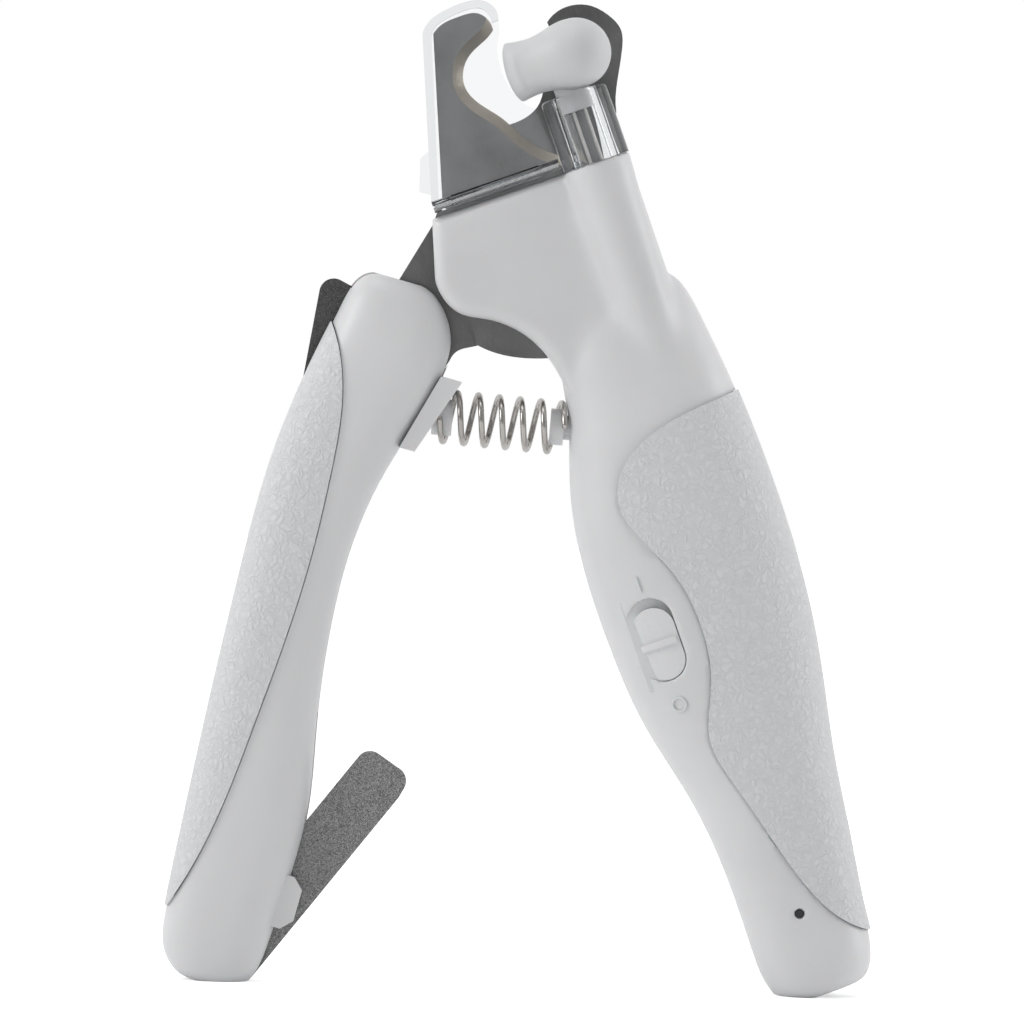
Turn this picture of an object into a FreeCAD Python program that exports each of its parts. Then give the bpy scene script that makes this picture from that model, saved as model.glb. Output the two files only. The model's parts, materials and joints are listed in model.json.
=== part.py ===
import FreeCAD, Part
import math
import os
from FreeCAD import Placement, Rotation, Vector

# Lighted pet nail clipper, millimetres.  Two handles cross at a pivot bolt.  The housing is the fixed
# side: it holds the front blade, the lamp, the battery and the clippings catcher.  The slim handle is
# the moving side: it carries the hooked rear blade and two folding files.  Each side is drawn upright
# in its own frame, with the pivot at the origin, X across, Z up and the front facing -Y, and is then
# leaned over so that both handle ends stand on the floor.

# ---- stance ------------------------------------------------------------------------------------
HOUSING_LEAN = 20.5          # degrees, foot of the housing swung to the right
HANDLE_LEAN = 14.5           # degrees, foot of the slim handle swung to the left
FOOT_FLAT = 1.65             # rounded corner of each handle end that the small rest flat takes off
CLEAR = 0.15                 # general clearance between neighbouring pieces
FIT = 0.05                   # radial running clearance of pins
THREAD = 0.02                # radial clearance of a thread in its pilot hole
BLEND_POWER = 2.5            # squareness of the handle sections, 2 is an ellipse

# ---- plates ------------------------------------------------------------------------------------
BLADE_THICKNESS = 2.2
BLADE_GAP = 0.1              # oil gap between the two blades
FRONT_BLADE_BACK = -BLADE_GAP
FRONT_BLADE_FRONT = FRONT_BLADE_BACK - BLADE_THICKNESS
REAR_BLADE_FRONT = 0.0
REAR_BLADE_BACK = REAR_BLADE_FRONT + BLADE_THICKNESS
BEVEL_WIDTH = 1.7            # ground edge of each blade, across its face
BEVEL_DEPTH = 1.7            # and down its thickness

# ---- pivot -------------------------------------------------------------------------------------
PIVOT_RADIUS = 3.0
PIVOT_HEAD_RADIUS = 5.2
PIVOT_HEAD_HEIGHT = 1.8
WASHER_THICKNESS = 0.5
NUT_THICKNESS = 2.2
PIVOT_END = 0.4              # thread that shows past the nut

# ---- housing -----------------------------------------------------------------------------------
GRIP_LENGTH = 135.0          # pivot to the end of the housing
HEAD_TOP = 6.6               # top edge of the housing above the pivot
HEAD_LEFT = -9.7
HEAD_RIGHT = 24.2
HEAD_HALF_DEPTH = 6.5
HEAD_ROUND = 2.2
GRIP_HALF_DEPTH = 11.8
WALL = 2.0
PLATE_POCKET_RIGHT = 20.6    # the two covers meet to the right of the plates
PLATE_POCKET_FOOT = -24.4
PLATE_POCKET_FLARE = 2.4     # extra width to the right at the top, for the heel of the rear blade

# Sections of the grip: share of its length, inner edge, outer edge, share of the half depth.
GRIP_STATIONS = [
    (0.108, 9.0, 24.4, 0.40),
    (0.130, 6.5, 26.0, 0.60),
    (0.165, 3.0, 26.9, 0.74),
    (0.225, 1.1, 27.9, 0.86),
    (0.310, -2.4, 28.8, 0.95),
    (0.410, -4.8, 29.1, 1.00),
    (0.520, -5.0, 28.5, 1.00),
    (0.620, -3.8, 26.7, 0.97),
    (0.725, -0.6, 24.0, 0.92),
    (0.830, 0.9, 22.1, 0.87),
    (0.920, 0.9, 20.5, 0.83),
    (0.970, 1.4, 19.5, 0.78),
    (0.992, 2.8, 18.0, 0.69),
    (1.000, 5.2, 15.6, 0.50),
]

# ---- lamp --------------------------------------------------------------------------------------
COLUMN_CENTRE = 18.9         # across, of the rounded column that carries the lamp
COLUMN_RADIUS = 5.6
COLUMN_BORE = 3.6            # seat of the clear block's plug
PLUG_LENGTH = 4.0
WIRE_RUN_RADIUS = 1.8
COLUMN_FOOT = -46.0
WIRE_RUN_DROP = 4.5          # the bore of the column opens into the grip this far below the plates
COLUMN_FOOT_RADIUS = 4.2
BLOCK_HEIGHT = 12.0          # clear block between the housing and the lamp
BLOCK_WALL = 1.5
BLOCK_BACK = -2.7
LAMP_DOME_X = 21.5
LAMP_DOME_Y = -9.7
LAMP_DOME_Z = 24.6
LAMP_DOME_RADIUS = 5.75
LAMP_NECK_RADIUS = 4.65
LAMP_MOUTH_RADIUS = 5.0
LAMP_REACH = 11.0            # dome centre to the mouth
LAMP_TOE_IN = 19.0           # degrees, mouth turned back towards the blades
LAMP_WALL = 1.1
LAMP_STEM_RADIUS = 2.9
LENS_THICKNESS = 0.8
LED_RADIUS = 2.5
LEAD_RADIUS = 0.3
LEAD_PITCH = 2.0

# ---- catcher -----------------------------------------------------------------------------------
CATCHER_FRONT = -6.4
CATCHER_BACK = -0.35
CATCHER_WALL = 1.2
CATCHER_HINGE_Y = -5.4
CATCHER_HINGE_Z = 8.3
KNUCKLE_RADIUS = 1.0
HINGE_PIN_RADIUS = 0.45
KNUCKLE_LENGTH = 3.2
CATCHER_LEFT = -8.9
CATCHER_RIGHT = 13.0
RAIL_HEIGHT = 0.3
CATCHER_FOOT = 9.3           # lower edge of the door's front wall

# ---- switch, battery and board -----------------------------------------------------------------
SWITCH_X = 2.8
SWITCH_Z = -70.7
SLOT_LENGTH = 14.0
SLOT_WIDTH = 7.3
SWITCH_TRAVEL = 1.5
SWITCH_HEIGHT = 2.4
BATTERY_RADIUS = 5.2
BATTERY_LENGTH = 44.0
BATTERY_TOP = -37.0
BATTERY_INSET = 6.2          # battery axis inside the outer wall of the grip
CRADLE_THICKNESS = 1.6       # ribs that hold the battery
BOARD_THICKNESS = 1.2
BOARD_FRONT = -4.4
SOCKET_X = 9.8
SOCKET_WIDTH = 8.0
SOCKET_DEPTH = 3.2
SOCKET_LENGTH = 7.0
INDICATOR_RADIUS = 0.7
INDICATOR_DROP = 14.2        # above the end of the housing
INDICATOR_X = 10.2

# ---- slim handle -------------------------------------------------------------------------------
HANDLE_HALF_DEPTH = 7.6
HANDLE_WALL = 1.8
INNER_TOE = 3.5              # inner corner of the housing end that touches the floor
HANDLE_TOE = -8.0            # inner corner of the slim handle end that touches the floor
HANDLE_STATIONS = [
    (0.0850, -18.6, -9.5, 0.45),
    (0.0950, -20.6, -7.0, 0.70),
    (0.1120, -21.7, -4.9, 0.86),
    (0.1450, -22.6, -2.9, 0.96),
    (0.1850, -23.6, -2.9, 1.00),
    (0.2500, -25.0, -5.0, 1.00),
    (0.3300, -26.1, -8.0, 1.00),
    (0.4300, -26.3, -9.7, 0.98),
    (0.5350, -25.8, -9.2, 0.96),
    (0.6500, -25.1, -7.1, 0.96),
    (0.7550, -24.3, -4.6, 0.96),
    (0.8500, -23.5, -4.3, 0.96),
    (0.9350, -22.6, -4.8, 0.94),
    (0.9720, -21.4, -5.6, 0.88),
    (0.9920, -19.2, -7.2, 0.74),
    (1.0000, -16.8, -9.2, 0.50),
]

# ---- files -------------------------------------------------------------------------------------
FILE_THICKNESS = 1.0
FILE_WIDTH = 9.4
FILE_LAYER_FRONT = -1.75     # the front cover of the slim handle ends here
BLADE_SWEEP = 26.0           # reach of the front blade's foot about the pivot
FILE_BACK = -0.4
FILE_FRONT = FILE_BACK - FILE_THICKNESS
FILE_PIN_RADIUS = 1.5
FILE_PIN_FRONT = -4.4
FILE_PIN_BACK = 4.4
FILE_PIN_BOSS = 2.9
COARSE_PIN_X = -9.9
COARSE_PIN_RISE = 5.6        # pin above the end of the slim handle
COARSE_LENGTH = 41.3
COARSE_SHOWN = 23.3          # degrees out of the handle's line at rest
FINE_PIN_X = -18.0
FINE_PIN_Z = -56.0
FINE_LENGTH = 43.4
FINE_SHOWN = 5.3             # degrees out of the handle's line at rest

# ---- spring ------------------------------------------------------------------------------------
SPRING_RADIUS = 4.1          # to the middle of the wire
SPRING_WIRE = 0.45
SPRING_TURNS = 6.5
PEG_RADIUS = 3.0
PEG_LENGTH = 2.3
PEG_SHANK_RADIUS = 2.0
PEG_STAND = 1.0              # shoulder of the peg in front of the seat point
PEG_SHANK = 5.0
SPRING_END = 1.6             # half a coil left free at each seat
SEAT_HALF_WIDTH = 5.0
HOUSING_SEAT = (0.55, -33.3)
SEAT_FACE = [(0.4, -24.6), (-4.0, -37.7)]

# ---- inlays ------------------------------------------------------------------------------------
INLAY_PROUD = 0.45
INLAY_SINK = 0.8

# Edge of each textured panel: across, and share of the handle's length.
INLAY_EDGE = [
    (27.6, 0.268), (22.6, 0.272), (13.2, 0.284), (6.6, 0.312), (3.8, 0.357), (5.2, 0.397), (8.9, 0.459),
    (10.1, 0.522), (8.6, 0.595), (5.4, 0.660), (6.9, 0.722), (11.0, 0.830), (15.0, 0.903), (20.2, 0.945),
]
SLIM_INLAY_EDGE = [
    (-22.9, 0.158), (-19.8, 0.198), (-17.6, 0.248), (-16.0, 0.345), (-15.4, 0.445), (-15.7, 0.550),
    (-16.8, 0.668), (-18.9, 0.815), (-22.6, 0.921),
]

# ---- screws ------------------------------------------------------------------------------------
SCREW_RADIUS = 1.0
SCREW_HEAD_RADIUS = 2.1
SCREW_HEAD_HEIGHT = 1.4
SCREW_DEPTH = 5.0            # pilot hole in the front cover
SCREW_SEAT = 6.4             # seat of the housing screws behind the joint plane
HANDLE_SCREW_SEAT = 3.3      # the same in the slim handle
SCREW_RECESS = 0.7
SCREW_RECESS_ARM = 1.3
BOSS_RADIUS = 2.9
HANDLE_BOSS_RADIUS = 2.4
COVER_SCREWS = [(8.2, -30.4), (2.6, -52.0), (20.2, -93.5), (13.9, -124.8)]
HANDLE_SCREWS = [(-6.8, -20.5), (-19.6, -73.0), (-19.0, -123.5)]


# ---- helpers -----------------------------------------------------------------------------------
def span(points):
    """A straight edge through two (x, z) points, or a smooth curve through more."""
    vectors = [Vector(x, 0, z) for x, z in points]
    if len(vectors) == 2:
        return Part.makeLine(vectors[0], vectors[1])
    curve = Part.BSplineCurve()
    curve.interpolate(vectors)
    return curve.toShape()


def outline(spans):
    """A closed face in the XZ plane from spans that follow one another."""
    return Part.Face(Part.Wire([span(points) for points in spans]))


def slab(face, y_front, y_back):
    """Extrude a face of the XZ plane from y_front to y_back."""
    lifted = face.copy()
    lifted.translate(Vector(0, y_front, 0))
    return lifted.extrude(Vector(0, y_back - y_front, 0))


def box(x_low, x_high, y_low, y_high, z_low, z_high):
    return Part.makeBox(x_high - x_low, y_high - y_low, z_high - z_low, Vector(x_low, y_low, z_low))


def rod(radius, x, z, y_front, y_back):
    """A cylinder along Y."""
    return Part.makeCylinder(radius, y_back - y_front, Vector(x, y_front, z), Vector(0, 1, 0))


def post(radius, x, y, z_low, z_high):
    """A cylinder along Z."""
    return Part.makeCylinder(radius, z_high - z_low, Vector(x, y, z_low), Vector(0, 0, 1))


def stadium(x, z, length, width):
    """A slot outline, long way up, centred at (x, z)."""
    half = width / 2
    reach = (length - width) / 2
    upper_left = Vector(x - half, 0, z + reach)
    upper_right = Vector(x + half, 0, z + reach)
    lower_right = Vector(x + half, 0, z - reach)
    lower_left = Vector(x - half, 0, z - reach)
    top = Part.Arc(upper_left, Vector(x, 0, z + reach + half), upper_right)
    foot = Part.Arc(lower_right, Vector(x, 0, z - reach - half), lower_left)
    right = Part.makeLine(upper_right, lower_right)
    left = Part.makeLine(lower_left, upper_left)
    return Part.Face(Part.Wire([top.toShape(), right, foot.toShape(), left]))


def section(z, x_low, x_high, half_depth):
    """One rounded cross-section of a handle at height z."""
    middle = (x_low + x_high) / 2
    half = (x_high - x_low) / 2
    steps = 24
    points = []
    for step in range(steps):
        angle = 2 * math.pi * step / steps
        across = math.copysign(abs(math.cos(angle)) ** (2 / BLEND_POWER), math.cos(angle))
        depth = math.copysign(abs(math.sin(angle)) ** (2 / BLEND_POWER), math.sin(angle))
        points.append(Vector(middle + half * across, half_depth * depth, z))
    curve = Part.BSplineCurve()
    curve.interpolate(Points=points, PeriodicFlag=True)
    return Part.Wire([curve.toShape()])


def handle_loft(stations, length, half_depth, inset=0.0):
    """The smooth body of a handle, with its skin moved inwards by inset (outwards if negative)."""
    wires = []
    for share, x_low, x_high, depth_share in stations:
        z = -length * share
        if share == stations[0][0]:
            z -= inset
        if share == stations[-1][0]:
            z += inset
        wires.append(section(z, x_low + inset, x_high - inset, half_depth * depth_share - inset))
    return Part.makeLoft(wires, True, False)


def edges_at(stations, length, z):
    """Inner and outer edge of a handle at height z, between its stations."""
    for upper, lower in zip(stations, stations[1:]):
        z_upper = -length * upper[0]
        z_lower = -length * lower[0]
        if z_lower <= z <= z_upper:
            share = (z_upper - z) / (z_upper - z_lower)
            return [upper[i] + share * (lower[i] - upper[i]) for i in (1, 2)]
    return list(stations[-1][1:3])


def edges_facing(shape, axis, level):
    """Edges whose middle lies at the given level of an axis."""
    return [edge for edge in shape.Edges if abs(getattr(edge.CenterOfMass, axis) - level) < 0.01]


def union(shapes):
    result = shapes[0]
    for shape in shapes[1:]:
        result = result.fuse(shape)
    return result.removeSplitter()


def lean(shape, degrees):
    """Swing a shape about the pivot, foot to the right for a positive angle."""
    turned = shape.copy()
    turned.rotate(Vector(0, 0, 0), Vector(0, -1, 0), degrees)
    return turned


def on_housing(shape):
    return lean(shape, HOUSING_LEAN)


def on_handle(shape):
    return lean(shape, -HANDLE_LEAN)


# ---- derived -----------------------------------------------------------------------------------
housing_tilt = math.radians(HOUSING_LEAN)
handle_tilt = math.radians(HANDLE_LEAN)
HANDLE_LENGTH = (GRIP_LENGTH * math.cos(housing_tilt) - INNER_TOE * math.sin(housing_tilt)
                 - HANDLE_TOE * math.sin(handle_tilt)) / math.cos(handle_tilt)
COARSE_PIN_Z = COARSE_PIN_RISE - HANDLE_LENGTH
COLUMN_Y = -HEAD_HALF_DEPTH


# ---- blades ------------------------------------------------------------------------------------
FRONT_BLADE_EDGE = [(9.9, 32.8), (7.7, 31.5), (5.3, 30.4), (3.4, 28.6), (2.5, 25.5), (3.4, 22.8),
                    (6.6, 18.6), (8.6, 15.0), (10.8, 12.0), (15.0, 9.2)]
REAR_BLADE_EDGE = [(-2.5, 36.3), (-1.5, 34.6), (-1.2, 31.0), (-0.2, 26.5), (-0.2, 22.5), (-2.2, 19.6),
                   (-6.5, 17.3)]


def front_blade_outline():
    return outline([
        FRONT_BLADE_EDGE,
        [(15.0, 9.2), (20.0, 0.0)],
        [(20.0, 0.0), (20.0, -14.0)],
        [(20.0, -14.0), (12.0, -22.5), (4.0, -22.0), (-1.1, -20.6), (-5.8, -18.4),
         (-9.6, -15.2)],
        [(-9.6, -15.2), (-9.4, -12.0), (-10.0, -9.6), (-9.8, -3.0), (-7.4, 8.0)],
        [(-7.4, 8.0), (0.4, 35.4)],
        [(0.4, 35.4), (2.0, 36.3), (5.4, 36.7), (8.4, 36.2), (9.7, 34.6), (9.9, 32.8)],
    ])


def ground_edge(plate, points, y):
    """Grind the bevel along the cutting curve, on the face of the plate at y."""
    middle = span(points).CenterOfMass
    edges = [edge for edge in edges_facing(plate, "y", y)
             if abs(edge.CenterOfMass.x - middle.x) < 0.01 and abs(edge.CenterOfMass.z - middle.z) < 0.01]
    return plate.makeChamfer(BEVEL_WIDTH, BEVEL_DEPTH, edges)


def fixed_blade():
    """Front blade: a wide plate with a hollow-ground bite, held inside the housing."""
    plate = slab(front_blade_outline(), FRONT_BLADE_FRONT, FRONT_BLADE_BACK)
    plate = ground_edge(plate, FRONT_BLADE_EDGE, FRONT_BLADE_FRONT)
    return plate.cut(rod(PIVOT_RADIUS, 0, 0, FRONT_BLADE_FRONT - 1, FRONT_BLADE_BACK + 1))


def tang_outer(grow=0.0):
    """Outer edge of the tang, downwards, moved out by grow."""
    shares = [(-23.2, 0.25), (-24.6, 0.34), (-24.6, 0.47), (-23.6, 0.67), (-22.2, 0.86), (-21.0, 0.945)]
    points = [(-14.3, -11.3), (-16.5, -15.5), (-20.2, -24.0)]
    points += [(x, -share * HANDLE_LENGTH) for x, share in shares]
    return [(x - grow, z) for x, z in points]


def tang_inner(grow=0.0):
    """Inner edge of the tang, upwards, moved out by grow."""
    shares = [(-6.6, 0.945), (-5.8, 0.86), (-5.9, 0.76), (-8.4, 0.65), (-10.9, 0.52), (-11.2, 0.43),
              (-9.4, 0.33), (-6.2, 0.245)]
    points = [(x, -share * HANDLE_LENGTH) for x, share in shares] + [(-4.4, -27.0), (-2.6, -21.8)]
    return [(x + grow, z) for x, z in points]


def tang_end(grow=0.0):
    """Straight sides of the tang's end."""
    foot = -0.978 * HANDLE_LENGTH - grow
    corners = [tang_outer(grow)[-1], (-17.0, foot), (-9.0, foot), tang_inner(grow)[0]]
    return [list(pair) for pair in zip(corners, corners[1:])]


def tang_outline():
    """Rear blade and its full tang, in the slim handle's frame."""
    return outline([
        REAR_BLADE_EDGE,
        [(-6.5, 17.3), (-9.6, 10.0), (-11.4, -0.9)],
        [(-11.4, -0.9), (-14.3, -11.3)],
        tang_outer(),
        *tang_end(),
        tang_inner(),
        [(-2.6, -21.8), (-1.5, -19.6), (0.8, -18.3), (5.0, -15.0), (12.0, -9.0), (15.5, 1.0),
         (15.0, 13.0), (12.5, 25.4)],
        [(12.5, 25.4), (11.2, 31.0), (10.6, 35.5), (9.6, 38.4), (6.7, 40.3), (3.4, 40.9), (0.6, 40.1),
         (-2.5, 36.3)],
    ])


def tang_pocket(y_front, y_back):
    """Room for the tang in the slim handle, open above."""
    outer = tang_outer(CLEAR)
    inner = tang_inner(CLEAR)
    corners = [inner[-1], (5.0, -15.0), (5.0, 5.0), (outer[0][0] + 2.9, 5.0), (outer[0][0] + 2.9, -0.9), outer[0]]
    lid = [list(pair) for pair in zip(corners, corners[1:])]
    return slab(outline([outer, *tang_end(CLEAR), inner, *lid]), y_front, y_back)


def moving_blade():
    """Rear blade: a hook on a full tang, holed for the pivot, the screws and the file pins."""
    plate = slab(tang_outline(), REAR_BLADE_FRONT, REAR_BLADE_BACK)
    plate = ground_edge(plate, REAR_BLADE_EDGE, REAR_BLADE_BACK)
    holes = [rod(PIVOT_RADIUS, 0, 0, -1, 4)]
    holes += [rod(SCREW_RADIUS + CLEAR, x, z, -1, 4) for x, z in HANDLE_SCREWS]
    holes += [rod(FILE_PIN_RADIUS + THREAD, COARSE_PIN_X, COARSE_PIN_Z, -1, 4)]
    holes += [rod(FILE_PIN_RADIUS + THREAD, FINE_PIN_X, FINE_PIN_Z, -1, 4)]
    return plate.cut(Part.makeCompound(holes))


# ---- pivot -------------------------------------------------------------------------------------
def pivot_bolt():
    shank_end = REAR_BLADE_BACK + FIT + WASHER_THICKNESS + NUT_THICKNESS + PIVOT_END
    shank = rod(PIVOT_RADIUS - FIT, 0, 0, FRONT_BLADE_FRONT, shank_end)
    head = rod(PIVOT_HEAD_RADIUS, 0, 0, FRONT_BLADE_FRONT - PIVOT_HEAD_HEIGHT, FRONT_BLADE_FRONT)
    head = head.makeFillet(0.6, edges_facing(head, "y", head.BoundBox.YMin))
    return union([head, shank])


def pivot_washer():
    y = REAR_BLADE_BACK + FIT
    ring = rod(PIVOT_HEAD_RADIUS, 0, 0, y, y + WASHER_THICKNESS)
    return ring.cut(rod(PIVOT_RADIUS, 0, 0, y - 1, y + 2))


def pivot_nut():
    y = REAR_BLADE_BACK + FIT + WASHER_THICKNESS
    corners = [Vector(PIVOT_HEAD_RADIUS * math.cos(math.radians(60 * i)), y,
                      PIVOT_HEAD_RADIUS * math.sin(math.radians(60 * i))) for i in range(7)]
    hexagon = Part.Face(Part.makePolygon(corners)).extrude(Vector(0, NUT_THICKNESS, 0))
    return hexagon.cut(rod(PIVOT_RADIUS - FIT + THREAD, 0, 0, y - 1, y + NUT_THICKNESS + 1))


# ---- housing -----------------------------------------------------------------------------------
def head_outline():
    return outline([
        [(HEAD_LEFT, HEAD_TOP), (HEAD_RIGHT, HEAD_TOP)],
        [(HEAD_RIGHT, HEAD_TOP), (HEAD_RIGHT - 0.2, -34.0)],
        [(HEAD_RIGHT - 0.2, -34.0), (6.0, -34.0)],
        [(6.0, -34.0), (2.2, -27.0), (1.3, -22.4), (-1.4, -16.5), (-6.9, -11.7), (-10.4, -9.6),
         (-12.2, -6.4), (-12.5, -3.0)],
        [(-12.5, -3.0), (HEAD_LEFT, HEAD_TOP)],
    ])


def head_block():
    block = slab(head_outline(), -HEAD_HALF_DEPTH, HEAD_HALF_DEPTH)
    rims = edges_facing(block, "y", -HEAD_HALF_DEPTH) + edges_facing(block, "y", HEAD_HALF_DEPTH)
    return block.makeFillet(HEAD_ROUND, rims)


def grip_loft(inset=0.0):
    return handle_loft(GRIP_STATIONS, GRIP_LENGTH, GRIP_HALF_DEPTH, inset)


def column(radius, foot_radius):
    """The rounded column on the front of the neck; it runs back into the grip as it goes down."""
    base = Vector(COLUMN_CENTRE, COLUMN_Y, HEAD_TOP + 1.0)
    run = Vector(-0.6, 2.0, COLUMN_FOOT - HEAD_TOP)
    return Part.makeCone(radius, foot_radius, run.Length, base, run)


def foot_cut(degrees):
    """Everything under the floor, seen from a handle's own upright frame."""
    return lean(box(-200, 200, -60, 60, -300, floor_height()), degrees)


def floor_height():
    """Height of the floor below the pivot, in the standing frame."""
    toe = INNER_TOE * math.sin(housing_tilt) - GRIP_LENGTH * math.cos(housing_tilt)
    return toe + FOOT_FLAT


def housing_body():
    body = union([head_block(), grip_loft(), column(COLUMN_RADIUS, COLUMN_FOOT_RADIUS)])
    return body.cut(box(-60, 60, -60, 60, HEAD_TOP, 60)).cut(foot_cut(-HOUSING_LEAN))


def boss_posts(places, radius):
    return [rod(radius, x, z, -30, 30) for x, z in places]


def head_holes(places):
    """Round openings that let the screw heads and the driver in from the back."""
    return Part.makeCompound([rod(SCREW_HEAD_RADIUS + CLEAR, x, z, 0, 30) for x, z in places])


def panel_plan(edge, outside, length, gap):
    """Plan of a grip panel: a curved edge given by shares of the length, closed outside the handle."""
    toward = math.copysign(gap, outside)
    curve = [(x + toward, -share * length) for x, share in edge]
    top = edge[0][1] * length + gap
    foot = edge[-1][1] * length - gap
    curve[0] = (curve[0][0], -top)
    curve[-1] = (curve[-1][0], -foot)
    return outline([
        curve,
        [curve[-1], (outside, -foot)],
        [(outside, -foot), (outside, -top)],
        [(outside, -top), curve[0]],
    ])


def inlay_plan(gap=0.0):
    """Plan of the textured panel on the housing, drawn in from its recess by gap."""
    return panel_plan(INLAY_EDGE, 40.0, GRIP_LENGTH, gap)


def grip_inlay(side):
    """Textured skin on the front (-1) or the back (1) of the housing grip."""
    y_range = (-30, -CLEAR) if side < 0 else (CLEAR, 30)
    prism = slab(inlay_plan(CLEAR), *y_range)
    skin = grip_loft(-INLAY_PROUD).common(prism).cut(grip_loft(INLAY_SINK - CLEAR))
    return skin if side < 0 else skin.cut(head_holes(COVER_SCREWS))


def cover_half(side):
    """Solid front (-1) or back (1) half of the housing, with its recesses, before it is hollowed."""
    y_range = (-40, 0) if side < 0 else (0, 40)
    half = housing_body().common(box(-60, 60, *y_range, -200, 60))
    if side > 0:
        half = half.cut(column(COLUMN_RADIUS + 1, COLUMN_FOOT_RADIUS + 1).common(box(0, 40, -1, 0, -60, 30)))
    recess = slab(inlay_plan(), -40, 40).cut(grip_loft(INLAY_SINK))
    return half.cut(recess)


def grip_hollow():
    """Inner space of the grip, less the screw bosses."""
    hollow = grip_loft(WALL).common(box(-60, 60, -60, 60, -GRIP_LENGTH + WALL, PLATE_POCKET_FOOT - WALL))
    return hollow.cut(Part.makeCompound(boss_posts(COVER_SCREWS, BOSS_RADIUS) + cradle_ribs()))


def cradle_ribs():
    """Two cross ribs with a round seat for the battery."""
    x = battery_axis()
    seat = post(BATTERY_RADIUS + CLEAR, x, 0, BATTERY_TOP - BATTERY_LENGTH, BATTERY_TOP)
    ribs = []
    for share in (0.2, 0.8):
        z = BATTERY_TOP - share * BATTERY_LENGTH
        rib = box(x - BATTERY_RADIUS, x + BATTERY_RADIUS, -30, 30, z, z + CRADLE_THICKNESS)
        ribs.append(rib.cut(seat))
    return ribs


def plate_pocket():
    """Flat pocket that both blades lie in, flared at its upper right."""
    reach = BLADE_THICKNESS + BLADE_GAP + CLEAR
    top = HEAD_TOP + 1.0
    corners = [(-40, PLATE_POCKET_FOOT), (PLATE_POCKET_RIGHT, PLATE_POCKET_FOOT), (PLATE_POCKET_RIGHT, 0.0),
               (PLATE_POCKET_RIGHT + PLATE_POCKET_FLARE, top), (-40, top)]
    plan = outline(list(zip(corners, corners[1:] + corners[:1])))
    return slab(plan, -reach, reach)


def front_cover():
    cover = cover_half(-1)
    cover = cover.cut(grip_hollow()).cut(plate_pocket())
    head_front = FRONT_BLADE_FRONT - PIVOT_HEAD_HEIGHT - CLEAR
    cover = cover.cut(rod(PIVOT_HEAD_RADIUS + CLEAR, 0, 0, head_front, 0))
    plug_foot = HEAD_TOP - PLUG_LENGTH - 1.0
    cover = cover.cut(post(COLUMN_BORE, COLUMN_CENTRE, COLUMN_Y - 0.4, plug_foot, HEAD_TOP + 1))
    run_foot = PLATE_POCKET_FOOT - WIRE_RUN_DROP
    cover = cover.cut(post(WIRE_RUN_RADIUS, COLUMN_CENTRE, COLUMN_Y - 0.4, run_foot, HEAD_TOP))
    cover = cover.cut(slab(stadium(SWITCH_X, SWITCH_Z, SLOT_LENGTH, SLOT_WIDTH), -40, BOARD_FRONT))
    cover = cover.cut(rod(INDICATOR_RADIUS + CLEAR, INDICATOR_X, -GRIP_LENGTH + INDICATOR_DROP, -30, -2))
    pilots = [rod(SCREW_RADIUS + THREAD, x, z, -SCREW_DEPTH, 1) for x, z in COVER_SCREWS]
    cover = cover.cut(Part.makeCompound(pilots))
    cover = cover.cut(socket_space()).cut(peg_space())
    return cover


def back_cover():
    cover = cover_half(1)
    cover = cover.cut(grip_hollow()).cut(plate_pocket())
    nut_back = REAR_BLADE_BACK + FIT + WASHER_THICKNESS + NUT_THICKNESS + PIVOT_END + CLEAR
    cover = cover.cut(rod(PIVOT_HEAD_RADIUS + CLEAR, 0, 0, 0, nut_back))
    for x, z in COVER_SCREWS:
        cover = cover.cut(rod(SCREW_RADIUS + THREAD, x, z, -1, 30))
        cover = cover.cut(rod(SCREW_HEAD_RADIUS + CLEAR, x, z, SCREW_SEAT, 30))
    cover = cover.cut(socket_space()).cut(peg_space())
    return cover


def pan_head_screws(places, tip, seat):
    """Pan-head screws along Y, heads at the back."""
    screws = []
    for x, z in places:
        top = seat + SCREW_HEAD_HEIGHT
        head = rod(SCREW_HEAD_RADIUS, x, z, seat + FIT, top)
        shank = rod(SCREW_RADIUS, x, z, -tip, seat + FIT)
        arm = SCREW_RECESS_ARM
        level = box(x - arm, x + arm, top - SCREW_RECESS, top + 1, z - arm / 5, z + arm / 5)
        upright = box(x - arm / 5, x + arm / 5, top - SCREW_RECESS, top + 1, z - arm, z + arm)
        screws.append(union([head, shank]).cut(level).cut(upright))
    return Part.makeCompound(screws)


def cover_screws():
    return pan_head_screws(COVER_SCREWS, SCREW_DEPTH - 0.5, SCREW_SEAT)


# ---- inside the grip ---------------------------------------------------------------------------
def battery_axis():
    """Across position of the battery, measured in from the narrower end of its stretch of grip."""
    ends = (BATTERY_TOP, BATTERY_TOP - BATTERY_LENGTH)
    outer = min(edges_at(GRIP_STATIONS, GRIP_LENGTH, z)[1] for z in ends)
    return outer - WALL - BATTERY_INSET


def battery():
    z_low = BATTERY_TOP - BATTERY_LENGTH
    x = battery_axis()
    can = post(BATTERY_RADIUS, x, 0, z_low, BATTERY_TOP)
    tip = post(1.6, x, 0, BATTERY_TOP, BATTERY_TOP + 0.8)
    return union([can, tip])


def board_outline():
    low = -GRIP_LENGTH + SOCKET_LENGTH + WALL - 2.5
    return outline([
        [(-0.4, -59.5), (10.4, -59.5)],
        [(10.4, -59.5), (11.2, -121.0)],
        [(11.2, -121.0), (10.5, low)],
        [(10.5, low), (5.2, low)],
        [(5.2, low), (5.2, -100.0)],
        [(5.2, -100.0), (-0.4, -84.0)],
        [(-0.4, -84.0), (-0.4, -59.5)],
    ])


def circuit_board():
    return slab(board_outline(), BOARD_FRONT, BOARD_FRONT + BOARD_THICKNESS)


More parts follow.
